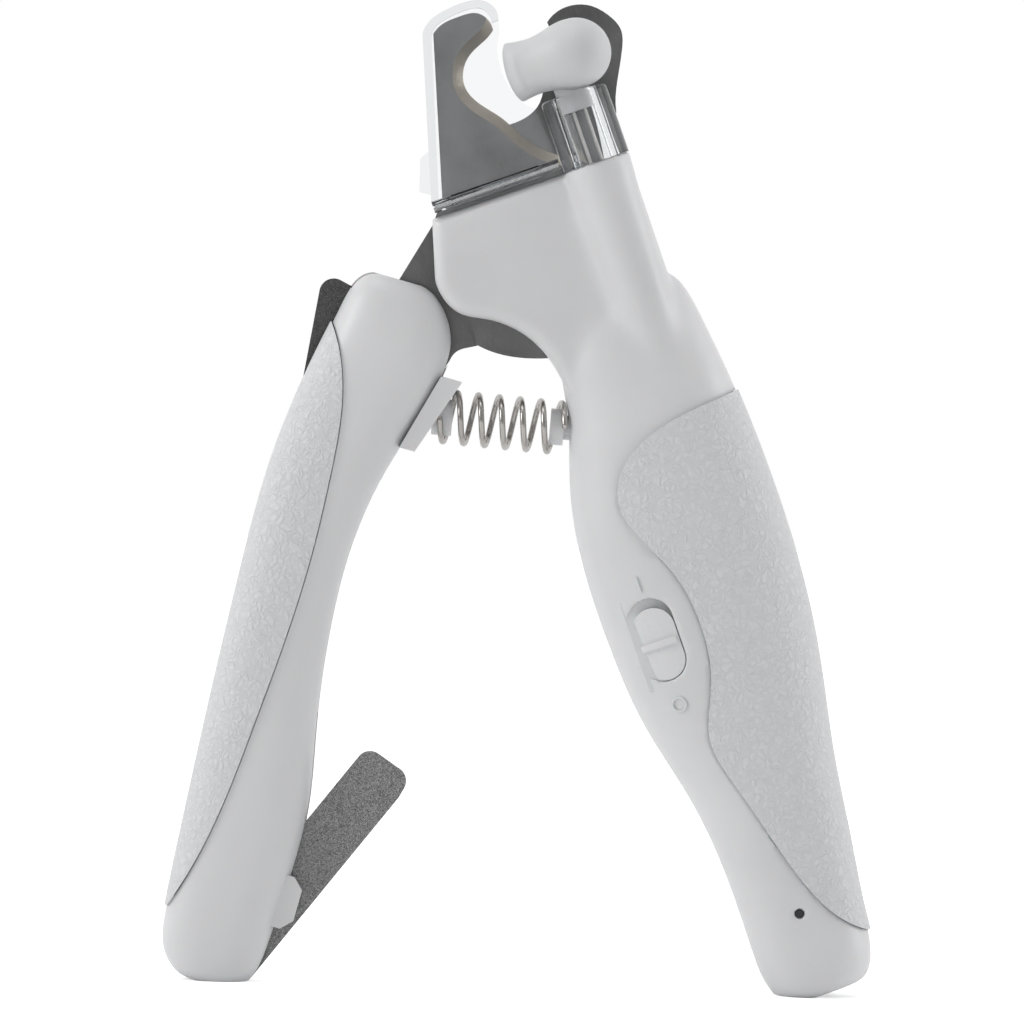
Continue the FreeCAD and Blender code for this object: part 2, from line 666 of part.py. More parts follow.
def slide_switch():
    """Switch body on the front of the board, under the thumb slide."""
    return box(SWITCH_X - 2.0, SWITCH_X + 2.0, BOARD_FRONT - SWITCH_HEIGHT, BOARD_FRONT,
               SWITCH_Z - 4.5, SWITCH_Z + 4.5)


def switch_button():
    """Thumb slide with a ridge across it, at the lower end of its slot."""
    length = SLOT_LENGTH - SWITCH_TRAVEL - 2 * CLEAR
    z = SWITCH_Z - SWITCH_TRAVEL / 2
    width = SLOT_WIDTH - 2 * CLEAR
    under = BOARD_FRONT - SWITCH_HEIGHT - CLEAR
    stem = slab(stadium(SWITCH_X, z, length, width), -40, under)
    stem = stem.common(grip_loft(0.55))
    ridge = box(SWITCH_X - width / 2 + 0.5, SWITCH_X + width / 2 - 0.5, -40, under, z - 0.55, z + 0.55)
    ridge = ridge.common(grip_loft(0.0))
    return union([stem, ridge])


def socket_centre():
    """Across and depth of the inlet: it hangs under the back face of the board."""
    return (SOCKET_X, BOARD_FRONT + BOARD_THICKNESS + SOCKET_DEPTH / 2 + FIT)


def socket_space():
    x, y = socket_centre()
    half = SOCKET_WIDTH / 2 + CLEAR
    deep = SOCKET_DEPTH / 2 + CLEAR
    return box(x - half, x + half, y - deep, y + deep, -GRIP_LENGTH - 2, -GRIP_LENGTH + SOCKET_LENGTH + 1)


def charging_socket():
    x, y = socket_centre()
    half = SOCKET_WIDTH / 2
    deep = SOCKET_DEPTH / 2
    low = -GRIP_LENGTH + 0.6
    shell = box(x - half, x + half, y - deep, y + deep, low, low + SOCKET_LENGTH)
    upright = [edge for edge in shell.Edges if abs(edge.Length - SOCKET_LENGTH) < 0.01]
    shell = shell.makeFillet(1.0, upright)
    mouth = box(x - half + 0.6, x + half - 0.6, y - deep + 0.5, y + deep - 0.5, low - 1, low + SOCKET_LENGTH - 1.5)
    tongue = box(x - 2.2, x + 2.2, y - 0.35, y + 0.35, low + 0.6, low + SOCKET_LENGTH - 1.4)
    return union([shell.cut(mouth), tongue])


def indicator_light():
    """Light pipe from the board to the front of the grip, above the socket."""
    z = -GRIP_LENGTH + INDICATOR_DROP
    surface = -GRIP_HALF_DEPTH * 0.80
    return rod(INDICATOR_RADIUS, INDICATOR_X, z, surface, BOARD_FRONT)


# ---- lamp --------------------------------------------------------------------------------------
def block_plan(radius, back, z):
    """A D-shaped plan: straight sides, round front."""
    x = COLUMN_CENTRE
    left = Vector(x - radius, COLUMN_Y, z)
    right = Vector(x + radius, COLUMN_Y, z)
    nose = Part.Arc(left, Vector(x, COLUMN_Y - radius, z), right).toShape()
    sides = Part.makePolygon([right, Vector(x + radius, back, z), Vector(x - radius, back, z), left])
    return Part.Face(Part.Wire([nose] + sides.Edges))


def lamp_holder():
    """Clear block that stands on the housing, with a plug down into the column."""
    low = HEAD_TOP + FIT
    outer = block_plan(COLUMN_RADIUS, BLOCK_BACK, low).extrude(Vector(0, 0, BLOCK_HEIGHT))
    outer = outer.makeFillet(0.7, edges_facing(outer, "z", low + BLOCK_HEIGHT))
    plug = post(COLUMN_BORE - CLEAR, COLUMN_CENTRE, COLUMN_Y - 0.4, low - PLUG_LENGTH, low + 1.0)
    bore = post(LAMP_STEM_RADIUS + FIT, COLUMN_CENTRE, COLUMN_Y - 0.4, low - PLUG_LENGTH - 1, low + BLOCK_HEIGHT + 1)
    return union([outer, plug]).cut(bore)


def lamp_axis():
    turn = math.radians(LAMP_TOE_IN)
    return Vector(-math.cos(turn), math.sin(turn), 0.03)


def lamp_profile(inset):
    """Half outline of the lamp along its axis, dome at 0, mouth at LAMP_REACH."""
    dome = LAMP_DOME_RADIUS - inset
    neck = LAMP_NECK_RADIUS - inset
    mouth = LAMP_MOUTH_RADIUS - inset
    end = LAMP_REACH + (1.0 if inset else 0.0)
    slant = dome * math.sqrt(0.5)
    cap = Part.Arc(Vector(-dome, 0, 0), Vector(-slant, 0, slant), Vector(0, 0, dome))
    side = span([(0, dome), (2.6, dome * 0.82 + neck * 0.18), (6.6, neck), (8.8, neck + 0.02), (end, mouth)])
    close = Part.makePolygon([Vector(end, 0, mouth), Vector(end, 0, 0), Vector(-dome, 0, 0)])
    return Part.Face(Part.Wire([cap.toShape(), side] + close.Edges))


def aim_lamp(shape):
    """Carry a shape built along +X at the origin onto the lamp's axis."""
    aimed = shape.copy()
    centre = Vector(LAMP_DOME_X, LAMP_DOME_Y, LAMP_DOME_Z)
    aimed.Placement = Placement(centre, Rotation(Vector(1, 0, 0), lamp_axis()))
    return aimed


def lamp_head():
    turned = lamp_profile(0).revolve(Vector(0, 0, 0), Vector(1, 0, 0), 360)
    hollow = lamp_profile(LAMP_WALL).revolve(Vector(0, 0, 0), Vector(1, 0, 0), 360)
    body = aim_lamp(turned)
    stem_foot = HEAD_TOP + BLOCK_HEIGHT - 3.0
    stem = post(LAMP_STEM_RADIUS, COLUMN_CENTRE, COLUMN_Y - 0.4, stem_foot, LAMP_DOME_Z)
    body = union([body, stem]).cut(aim_lamp(hollow))
    bore = post(LAMP_STEM_RADIUS - LAMP_WALL, COLUMN_CENTRE, COLUMN_Y - 0.4, stem_foot - 1, LAMP_DOME_Z)
    return body.cut(bore)


def lamp_lens():
    radius = LAMP_NECK_RADIUS - LAMP_WALL - FIT
    disc = Part.makeCylinder(radius, LENS_THICKNESS, Vector(LAMP_REACH - 2.2, 0, 0), Vector(1, 0, 0))
    return aim_lamp(disc)


def led():
    """Round emitter that looks out of the lamp's mouth, on its flange."""
    flange = Part.makeCylinder(LAMP_NECK_RADIUS - LAMP_WALL - FIT, 0.9, Vector(2.6, 0, 0), Vector(1, 0, 0))
    barrel = Part.makeCylinder(LED_RADIUS, 2.4, Vector(3.5, 0, 0), Vector(1, 0, 0))
    nose = Part.makeSphere(LED_RADIUS, Vector(5.9, 0, 0))
    return aim_lamp(union([flange, barrel, nose]))


def lamp_leads():
    """Two bare leads from the lamp down through the block and the column."""
    leads = []
    foot = PLATE_POCKET_FOOT - WIRE_RUN_DROP + 0.5
    for side in (-1, 1):
        x = COLUMN_CENTRE + side * LEAD_PITCH / 2
        leads.append(post(LEAD_RADIUS, x, COLUMN_Y - 0.4, foot, LAMP_DOME_Z - 3.0))
    return Part.makeCompound(leads)


# ---- catcher -----------------------------------------------------------------------------------
def hinge_rod(radius, x_low, x_high):
    """A cylinder on the catcher's hinge axis."""
    base = Vector(x_low, CATCHER_HINGE_Y, CATCHER_HINGE_Z)
    return Part.makeCylinder(radius, x_high - x_low, base, Vector(1, 0, 0))


def catcher_base():
    """Clear rail along the top of the housing, with a hinge knuckle at each end."""
    low = HEAD_TOP + FIT
    rail = box(CATCHER_LEFT, CATCHER_RIGHT, CATCHER_FRONT + 0.1, FRONT_BLADE_FRONT - CLEAR, low, low + RAIL_HEIGHT)
    pieces = [rail]
    for x in (CATCHER_LEFT, CATCHER_RIGHT - KNUCKLE_LENGTH):
        pieces.append(hinge_rod(KNUCKLE_RADIUS, x, x + KNUCKLE_LENGTH))
        back = CATCHER_HINGE_Y + KNUCKLE_RADIUS
        pieces.append(box(x, x + KNUCKLE_LENGTH, CATCHER_HINGE_Y - 0.3, back, low, CATCHER_HINGE_Z))
    return union(pieces).cut(hinge_rod(HINGE_PIN_RADIUS + THREAD, CATCHER_LEFT - 1, CATCHER_RIGHT + 1))


def catcher_hinge_pin():
    return hinge_rod(HINGE_PIN_RADIUS, CATCHER_LEFT + 0.2, CATCHER_RIGHT - 0.2)


CATCHER_ARCH = [(-1.3, 35.8), (0.4, 37.4), (3.6, 38.3), (7.1, 38.5), (9.8, 37.8), (11.2, 36.2), (11.3, 34.2)]
CATCHER_NOTCH = [(10.7, 31.9), (9.5, 29.4), (9.0, 25.6), (9.8, 21.4), (12.1, 18.2)]


def catcher_outline():
    return outline([
        [(CATCHER_LEFT, CATCHER_FOOT), (-1.3, 35.8)],
        CATCHER_ARCH,
        [(11.3, 34.2), (10.7, 31.9)],
        CATCHER_NOTCH,
        [(12.1, 18.2), (CATCHER_RIGHT, CATCHER_FOOT)],
        [(CATCHER_RIGHT, CATCHER_FOOT), (CATCHER_LEFT, CATCHER_FOOT)],
    ])


def catcher_inner():
    """Space inside the door: open at the foot and on the lamp side."""
    slope = (-1.3 - CATCHER_LEFT) / (35.8 - CATCHER_FOOT)
    wall = CATCHER_WALL
    left_foot = CATCHER_LEFT + wall - 3 * slope
    return outline([
        [(left_foot, CATCHER_FOOT - 3), (0.0, 35.2)],
        [(0.0, 35.2), (1.2, 36.4), (3.8, 37.1), (7.0, 37.3), (9.2, 36.7), (10.0, 35.6), (10.1, 34.0)],
        [(10.1, 34.0), (30.0, 34.0)],
        [(30.0, 34.0), (30.0, CATCHER_FOOT - 3)],
        [(30.0, CATCHER_FOOT - 3), (left_foot, CATCHER_FOOT - 3)],
    ])


def catcher_door():
    """Clear cover over the bite: front wall, left wall and arched top, hinged along its foot."""
    shell = slab(catcher_outline(), CATCHER_FRONT, CATCHER_BACK)
    shell = shell.cut(slab(catcher_inner(), CATCHER_FRONT + CATCHER_WALL, 5))
    gap = KNUCKLE_LENGTH + CLEAR
    barrel = hinge_rod(KNUCKLE_RADIUS, CATCHER_LEFT + gap, CATCHER_RIGHT - gap)
    wall_back = CATCHER_FRONT + CATCHER_WALL
    web = box(CATCHER_LEFT + gap, CATCHER_RIGHT - gap, CATCHER_FRONT, wall_back, CATCHER_HINGE_Z, CATCHER_FOOT + 0.5)
    tab = outline([
        [(-6.4, 17.4), (-8.3, 16.6)],
        [(-8.3, 16.6), (-10.2, 11.6)],
        [(-10.2, 11.6), (-8.2, 10.2)],
        [(-8.2, 10.2), (-6.4, 17.4)],
    ])
    bore = hinge_rod(HINGE_PIN_RADIUS + FIT, CATCHER_LEFT - 1, CATCHER_RIGHT + 1)
    hinge = union([barrel, web]).cut(bore)
    return union([shell, slab(tab, -4.6, -1.4), hinge])


# ---- slim handle -------------------------------------------------------------------------------
def slim_loft(inset=0.0):
    return handle_loft(HANDLE_STATIONS, HANDLE_LENGTH, HANDLE_HALF_DEPTH, inset)


def slim_body(inset=0.0):
    return slim_loft(inset).cut(foot_cut(HANDLE_LEAN))


def slim_inlay_plan(gap=0.0):
    """Plan of the textured panel along the outer side of the slim handle."""
    return panel_plan(SLIM_INLAY_EDGE, -40.0, HANDLE_LENGTH, gap)


def file_bay():
    """Space the two files swing through, between the front cover and the tang."""
    layer = (FILE_LAYER_FRONT, 0.0)
    coarse_top = COARSE_PIN_Z + COARSE_LENGTH + 1.0
    coarse = box(-17.4, 20, *layer, -HANDLE_LENGTH - 5, coarse_top)
    fine_foot = FINE_PIN_Z - FILE_WIDTH / 2 - 0.4
    fine = box(-60, -10.4, *layer, fine_foot, 20)
    return coarse.fuse(fine)


def handle_pins():
    return [(COARSE_PIN_X, COARSE_PIN_Z), (FINE_PIN_X, FINE_PIN_Z)]


def handle_hollow(y_front, y_back):
    hollow = slim_loft(HANDLE_WALL).common(box(-60, 20, y_front, y_back, -HANDLE_LENGTH, 0))
    bosses = boss_posts(HANDLE_SCREWS, HANDLE_BOSS_RADIUS) + boss_posts(handle_pins(), FILE_PIN_BOSS)
    return hollow.cut(Part.makeCompound(bosses))


def handle_front_cover():
    cover = slim_body().common(box(-60, 20, -30, -CLEAR, -200, 20))
    cover = cover.cut(file_bay())
    cover = cover.cut(rod(BLADE_SWEEP, 0, 0, FRONT_BLADE_FRONT - CLEAR, 0))
    cover = cover.cut(handle_hollow(-30, FILE_LAYER_FRONT + 0.01))
    cover = cover.cut(slab(slim_inlay_plan(), -30, 0).cut(slim_loft(INLAY_SINK)))
    lug_z = -0.875 * HANDLE_LENGTH
    lug = box(-8.0, -1.9, FILE_LAYER_FRONT - 2.0, FILE_LAYER_FRONT, lug_z - 4.4, lug_z + 4.4)
    lug = lug.makeChamfer(1.8, [edge for edge in lug.Edges if abs(edge.CenterOfMass.x + 1.9) < 0.01
                                and abs(edge.Length - 2.0) < 0.01])
    cover = union([cover, lug])
    for x, z in HANDLE_SCREWS:
        cover = cover.cut(rod(SCREW_RADIUS + THREAD, x, z, -SCREW_DEPTH, 1))
    for x, z in handle_pins():
        cover = cover.cut(rod(FILE_PIN_RADIUS + THREAD, x, z, FILE_PIN_FRONT - CLEAR, 1))
    return cover


def handle_back_cover():
    cover = slim_body().common(box(-60, 20, -CLEAR + FIT, 30, -200, 20))
    cover = cover.cut(tang_pocket(-1, REAR_BLADE_BACK + FIT))
    cover = cover.cut(handle_hollow(REAR_BLADE_BACK + 1.2, 30))
    cover = cover.cut(slab(slim_inlay_plan(), 0, 30).cut(slim_loft(INLAY_SINK)))
    for x, z in HANDLE_SCREWS:
        cover = cover.cut(rod(SCREW_RADIUS + THREAD, x, z, -1, 30))
        cover = cover.cut(rod(SCREW_HEAD_RADIUS + CLEAR, x, z, HANDLE_SCREW_SEAT, 30))
    for x, z in handle_pins():
        cover = cover.cut(rod(FILE_PIN_RADIUS + THREAD, x, z, -1, FILE_PIN_BACK + CLEAR))
    return cover


def slim_inlay(side):
    y_range = (-30, FILE_LAYER_FRONT - CLEAR) if side < 0 else (REAR_BLADE_BACK + CLEAR, 30)
    skin = slim_loft(-INLAY_PROUD).common(slab(slim_inlay_plan(CLEAR), *y_range))
    skin = skin.cut(slim_loft(INLAY_SINK - CLEAR))
    return skin if side < 0 else skin.cut(head_holes(HANDLE_SCREWS))


def handle_screws():
    return pan_head_screws(HANDLE_SCREWS, SCREW_DEPTH - 0.5, HANDLE_SCREW_SEAT)


# ---- files -------------------------------------------------------------------------------------
def file_blank(length, tip_points):
    """A flat file standing up from its pin at the origin."""
    half = FILE_WIDTH / 2
    foot = Part.Arc(Vector(half, 0, 0), Vector(0, 0, -half), Vector(-half, 0, 0)).toShape()
    path = [(-half, 0)] + tip_points + [(half, 0)]
    sides = Part.makePolygon([Vector(x, 0, z) for x, z in path])
    blank = slab(Part.Face(Part.Wire([foot] + sides.Edges)), FILE_FRONT, FILE_BACK)
    corners = [edge for edge in blank.Edges
               if abs(edge.Length - FILE_THICKNESS) < 0.01 and edge.CenterOfMass.z > length * 0.5]
    blank = blank.makeFillet(2.4, corners)
    return blank.cut(rod(FILE_PIN_RADIUS + FIT, 0, 0, -5, 5))


def pitched(shape, degrees, x, z):
    """Swing a file about its pin, tip to the right for a positive angle, and set it on its pin."""
    moved = shape.copy()
    moved.rotate(Vector(0, 0, 0), Vector(0, 1, 0), degrees)
    moved.translate(Vector(x, 0, z))
    return moved


def coarse_file():
    half = FILE_WIDTH / 2
    tip = [(-half, COARSE_LENGTH - 0.6), (half - 0.6, COARSE_LENGTH), (half, COARSE_LENGTH - 4.0)]
    blank = file_blank(COARSE_LENGTH, tip)
    return pitched(blank, COARSE_SHOWN, COARSE_PIN_X, COARSE_PIN_Z)


def fine_file():
    half = FILE_WIDTH / 2
    blank = file_blank(FINE_LENGTH, [(-half, FINE_LENGTH), (half, FINE_LENGTH - 3.0)])
    return pitched(blank, -FINE_SHOWN, FINE_PIN_X, FINE_PIN_Z)


def file_pin(x, z):
    """Plain pin that a file turns on, held at both ends in the covers."""
    return rod(FILE_PIN_RADIUS, x, z, FILE_PIN_FRONT, FILE_PIN_BACK)


# ---- spring ------------------------------------------------------------------------------------
def handle_seat_standing():
    """Middle of the seat face on the slim handle, in the standing frame."""
    (x_a, z_a), (x_b, z_b) = SEAT_FACE
    middle = Part.Vertex(Vector((x_a + x_b) / 2, 0, (z_a + z_b) / 2))
    return on_handle(middle).Point


def housing_seat_standing():
    x, z = HOUSING_SEAT
    return on_housing(Part.Vertex(Vector(x, 0, z))).Point


def spring_run():
    start = housing_seat_standing()
    end = handle_seat_standing()
    return start, end - start


def spring_length():
    return spring_run()[1].Length


def peg_space():
    """Hole for the housing peg, in the housing's frame."""
    start, run = spring_run()
    run.normalize()
    hole = Part.makeCylinder(PEG_SHANK_RADIUS + THREAD, 12, start - run * 8, run)
    return lean(hole, -HOUSING_LEAN)


def spring_peg():
    """Stepped peg in the inner wall of the housing; the spring slips over its nose."""
    start, run = spring_run()
    run.normalize()
    nose = Part.makeCylinder(PEG_RADIUS, PEG_LENGTH, start + run * PEG_STAND, run)
    shank = Part.makeCylinder(PEG_SHANK_RADIUS, PEG_SHANK, start + run * (PEG_STAND - PEG_SHANK + 0.2), run)
    return union([nose, shank])


def return_spring():
    """Coil between the two seats, ends closed up by one turn."""
    start, run = spring_run()
    length = run.Length - 2 * SPRING_END
    run.normalize()
    pitch = length / SPRING_TURNS
    helix = Part.makeHelix(pitch, length, SPRING_RADIUS)
    ring = Part.makeCircle(SPRING_WIRE, Vector(SPRING_RADIUS, 0, 0), Vector(0, 1, 0))
    coil = Part.Wire(helix.Edges).makePipeShell([Part.Wire([ring])], True, True)
    coil.Placement = Placement(start + run * SPRING_END, Rotation(Vector(0, 0, 1), run))
    return coil


def spring_seat():
    """Wedge pad on the inner side of the slim handle, with a peg for the spring."""
    (x_a, z_a), (x_b, z_b) = SEAT_FACE
    pad = outline([
        [(x_a, z_a), (x_b, z_b)],
        [(x_b, z_b), (x_b - 2.6, z_b)],
        [(x_b - 2.6, z_b), (x_a - 3.6, z_a)],
        [(x_a - 3.6, z_a), (x_a, z_a)],
    ])
    pad = slab(pad, -SEAT_HALF_WIDTH, SEAT_HALF_WIDTH)
    pad = pad.cut(slim_loft(-FIT))
    pad = pad.cut(tang_pocket(REAR_BLADE_FRONT - CLEAR, REAR_BLADE_BACK + CLEAR))
    start, run = spring_run()
    run.normalize()
    peg = Part.makeCylinder(PEG_RADIUS, PEG_LENGTH + 1.0, start + run * (spring_length() + 1.0), run * -1)
    peg = lean(peg, HANDLE_LEAN)
    return union([on_handle(pad), on_handle(peg)])


# ---- the assembly ------------------------------------------------------------------------------
def build():
    housing = {
        "front_cover": front_cover(),
        "back_cover": back_cover(),
        "grip_inlay_front": grip_inlay(-1),
        "grip_inlay_back": grip_inlay(1),
        "cover_screws": cover_screws(),
        "fixed_blade": fixed_blade(),
        "pivot_bolt": pivot_bolt(),
        "pivot_washer": pivot_washer(),
        "pivot_nut": pivot_nut(),
        "battery": battery(),
        "circuit_board": circuit_board(),
        "slide_switch": slide_switch(),
        "switch_button": switch_button(),
        "charging_socket": charging_socket(),
        "indicator_light": indicator_light(),
        "lamp_holder": lamp_holder(),
        "lamp_head": lamp_head(),
        "lamp_lens": lamp_lens(),
        "led": led(),
        "lamp_leads": lamp_leads(),
        "catcher_base": catcher_base(),
        "catcher_hinge_pin": catcher_hinge_pin(),
        "catcher_door": catcher_door(),
    }
    handle = {
        "moving_blade": moving_blade(),
        "handle_front_cover": handle_front_cover(),
        "handle_back_cover": handle_back_cover(),
        "handle_inlay_front": slim_inlay(-1),
        "handle_inlay_back": slim_inlay(1),
        "handle_screws": handle_screws(),
        "coarse_file": coarse_file(),
        "coarse_file_pin": file_pin(COARSE_PIN_X, COARSE_PIN_Z),
        "fine_file": fine_file(),
        "fine_file_pin": file_pin(FINE_PIN_X, FINE_PIN_Z),
    }
    pieces = {name: on_housing(shape) for name, shape in housing.items()}
    pieces.update({name: on_handle(shape) for name, shape in handle.items()})
    pieces["spring_peg"] = spring_peg()
    pieces["return_spring"] = return_spring()
    pieces["spring_seat"] = spring_seat()
    return pieces


def stand(pieces):
    """Move the assembly so that the floor is Z = 0 and the origin is in the middle of its plan."""
    whole = Part.makeCompound(list(pieces.values())).BoundBox
    shift = Vector(-whole.Center.x, -whole.Center.y, -floor_height())
    for shape in pieces.values():
        shape.translate(shift)
    return shift


def main():
    os.makedirs("parts", exist_ok=True)
    pieces = build()
    shift = stand(pieces)
    for name, shape in pieces.items():
        shape.exportStep(os.path.join("parts", name + ".step"))
        print(name, "solids", len(shape.Solids), "volume", round(shape.Volume, 1), "valid", shape.isValid())
    whole = Part.makeCompound(list(pieces.values())).BoundBox
    print("pivot", [round(value, 4) for value in shift])
    print("size", round(whole.XLength, 2), round(whole.YLength, 2), round(whole.ZLength, 2))


main()
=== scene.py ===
import json
import logging
import math
from dataclasses import dataclass
from enum import Enum
from typing import Dict, List, Optional, Sequence, Tuple

import bpy
from mathutils import Matrix, Vector

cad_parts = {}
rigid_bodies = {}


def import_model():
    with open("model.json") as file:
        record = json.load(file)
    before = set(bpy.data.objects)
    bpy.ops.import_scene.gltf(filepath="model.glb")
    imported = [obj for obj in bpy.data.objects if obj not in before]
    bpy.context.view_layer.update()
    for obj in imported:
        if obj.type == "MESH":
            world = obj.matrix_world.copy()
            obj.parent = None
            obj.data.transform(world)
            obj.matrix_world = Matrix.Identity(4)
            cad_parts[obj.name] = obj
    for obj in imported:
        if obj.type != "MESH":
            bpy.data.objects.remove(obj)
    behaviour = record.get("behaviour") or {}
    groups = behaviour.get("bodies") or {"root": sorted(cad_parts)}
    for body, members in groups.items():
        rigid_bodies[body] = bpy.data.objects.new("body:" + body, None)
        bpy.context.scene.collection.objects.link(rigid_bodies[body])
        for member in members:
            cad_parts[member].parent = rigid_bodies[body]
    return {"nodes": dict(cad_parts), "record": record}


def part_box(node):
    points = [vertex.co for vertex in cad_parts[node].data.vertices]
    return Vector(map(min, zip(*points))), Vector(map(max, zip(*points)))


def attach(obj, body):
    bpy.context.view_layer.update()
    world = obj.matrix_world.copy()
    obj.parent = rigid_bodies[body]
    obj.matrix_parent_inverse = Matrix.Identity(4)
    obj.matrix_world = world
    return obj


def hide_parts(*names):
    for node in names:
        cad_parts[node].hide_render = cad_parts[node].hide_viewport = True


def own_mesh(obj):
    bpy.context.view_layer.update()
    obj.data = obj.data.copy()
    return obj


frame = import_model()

# Look of a lighted pet nail clipper, metres.  The fixed housing carries the front blade, the lamp, the
# catcher and the cell; the slim handle carries the hooked rear blade and two folding files.

logging.basicConfig(level=logging.INFO, format="%(message)s")
log = logging.getLogger("clipper")

MM = 0.001
Colour = Tuple[float, float, float, float]
WHITE: Colour = (1.0, 1.0, 1.0, 1.0)


class Body(Enum):
    """Rigid bodies of the frame."""

    HOUSING = "housing"
    HANDLE = "handle"
    CATCHER = "catcher"
    SLIDER = "slider"
    COARSE = "coarse"
    FINE = "fine"


def grey(level: float, warm: float = 0.0) -> Colour:
    """A linear grey, warmed a little towards yellow.

    Args:
        level: linear brightness.
        warm: share added to red and taken from blue.

    Returns:
        The colour with full alpha.
    """
    return (level * (1 + warm), level, level * (1 - warm), 1.0)


# ---- finishes ------------------------------------------------------------------------------------


class Tree:
    """Small helper that builds a material's node tree."""

    def __init__(self, name: str) -> None:
        """Start a material with a principled shader.

        Args:
            name: name of the material.
        """
        self.material = bpy.data.materials.new(name)
        self.material.use_nodes = True
        self.nodes = self.material.node_tree.nodes
        self.links = self.material.node_tree.links
        self.shader = self.nodes["Principled BSDF"]
        self.coordinates = self.nodes.new("ShaderNodeTexCoord").outputs["Object"]

    def set(self, **values: object) -> None:
        """Set sockets of the principled shader; underscores stand for spaces.

        Args:
            **values: socket names and values.
        """
        for key, value in values.items():
            self.shader.inputs[key.replace("_", " ")].default_value = value

    def mapped(self, stretch: Sequence[float], turn: float = 0.0) -> object:
        """Object coordinates turned about Y and stretched.

        Args:
            stretch: scale along each axis.
            turn: turn about Y in radians.

        Returns:
            The vector output.
        """
        turned = self.nodes.new("ShaderNodeMapping")
        turned.inputs["Rotation"].default_value = (0.0, turn, 0.0)
        self.links.new(self.coordinates, turned.inputs["Vector"])
        scaled = self.nodes.new("ShaderNodeMapping")
        scaled.inputs["Scale"].default_value = tuple(stretch)
        self.links.new(turned.outputs["Vector"], scaled.inputs["Vector"])
        return scaled.outputs["Vector"]

    def noise(self, scale: float, detail: float = 2.0, vector: Optional[object] = None) -> object:
        """A noise texture.

        Args:
            scale: features per metre.
            detail: octaves.
            vector: coordinates, object coordinates if left out.

        Returns:
            The factor output.
        """
        texture = self.nodes.new("ShaderNodeTexNoise")
        texture.inputs["Scale"].default_value = scale
        texture.inputs["Detail"].default_value = detail
        self.links.new(vector or self.coordinates, texture.inputs["Vector"])
        return texture.outputs["Fac"]

    def cells(self, scale: float, feature: str = "F1", vector: Optional[object] = None) -> object:
        """A cell texture.

        Args:
            scale: cells per metre.
            feature: which cell feature.
            vector: coordinates, object coordinates if left out.

        Returns:
            The texture node.
        """
        texture = self.nodes.new("ShaderNodeTexVoronoi")
        texture.feature = feature
        texture.inputs["Scale"].default_value = scale
        self.links.new(vector or self.coordinates, texture.inputs["Vector"])
        return texture

    def remap(self, value: object, low: float, high: float, start: float = 0.3, end: float = 0.7) -> object:
        """Map a value from start..end to low..high.

        Args:
            value: input socket.
            low: result at start.
            high: result at end.
            start: lower input.
            end: upper input.

        Returns:
            The result output.
        """
        node = self.nodes.new("ShaderNodeMapRange")
        for key, number in (("From Min", start), ("From Max", end), ("To Min", low), ("To Max", high)):
            node.inputs[key].default_value = number
        self.links.new(value, node.inputs["Value"])
        return node.outputs["Result"]

    def blend(self, factor: object, first: Colour, second: Colour) -> object:
        """Mix two colours by a factor socket.

        Args:
            factor: the factor socket.
            first: colour at 0.
            second: colour at 1.

        Returns:
            The colour output.
        """
        node = self.nodes.new("ShaderNodeMix")
        node.data_type = "RGBA"
        node.inputs["A"].default_value = first
        node.inputs["B"].default_value = second
        self.links.new(factor, node.inputs["Factor"])
        return node.outputs["Result"]

    def combine(self, first: object, second: object, share: float) -> object:
        """Add a share of the second value to the first.

        Args:
            first: input socket.
            second: input socket.
            share: how much of the second is added.

        Returns:
            The sum.
        """
        node = self.nodes.new("ShaderNodeMath")
        node.operation = "MULTIPLY_ADD"
        self.links.new(second, node.inputs[0])
        node.inputs[1].default_value = share
        self.links.new(first, node.inputs[2])
        return node.outputs["Value"]

    def feed(self, socket: str, value: object) -> None:
        """Join a value to a socket of the principled shader.

        Args:
            socket: name of the socket.
            value: output to join.
        """
        self.links.new(value, self.shader.inputs[socket])

    def bump(self, height: object, depth: float, strength: float = 1.0) -> None:
        """Bump the shader.

        Args:
            height: height socket, 0 to 1.
            depth: depth in metres.
            strength: share of the effect.
        """
        node = self.nodes.new("ShaderNodeBump")
        node.inputs["Distance"].default_value = depth
        node.inputs["Strength"].default_value = strength
        self.links.new(height, node.inputs["Height"])
        self.links.new(node.outputs["Normal"], self.shader.inputs["Normal"])


@dataclass(frozen=True)
class Moulding:
    """Satin injection-moulded plastic with a faint cloudiness and sheen variation."""

    name: str = "white_moulding"
    colour: Colour = (0.74, 0.745, 0.755, 1.0)
    shade: Colour = (0.70, 0.705, 0.715, 1.0)
    roughness: float = 0.34
    cloud_scale: float = 60.0
    sheen_scale: float = 340.0
    pore_scale: float = 2600.0
    pore_depth: float = 0.01 * MM

    def build(self) -> bpy.types.Material:
        """Make the material.

        Returns:
            The material.
        """
        tree = Tree(self.name)
        tree.set(IOR=1.49, Subsurface_Weight=0.08, Subsurface_Scale=0.002)
        cloud = tree.noise(self.cloud_scale, 3.0)
        sheen = tree.noise(self.sheen_scale, 3.0)
        tree.feed("Base Color", tree.blend(tree.remap(cloud, 0.0, 1.0), self.shade, self.colour))
        tree.feed("Roughness", tree.remap(sheen, self.roughness - 0.05, self.roughness + 0.06))
        tree.bump(tree.noise(self.pore_scale, 2.0), self.pore_depth, 0.35)
        return tree.material


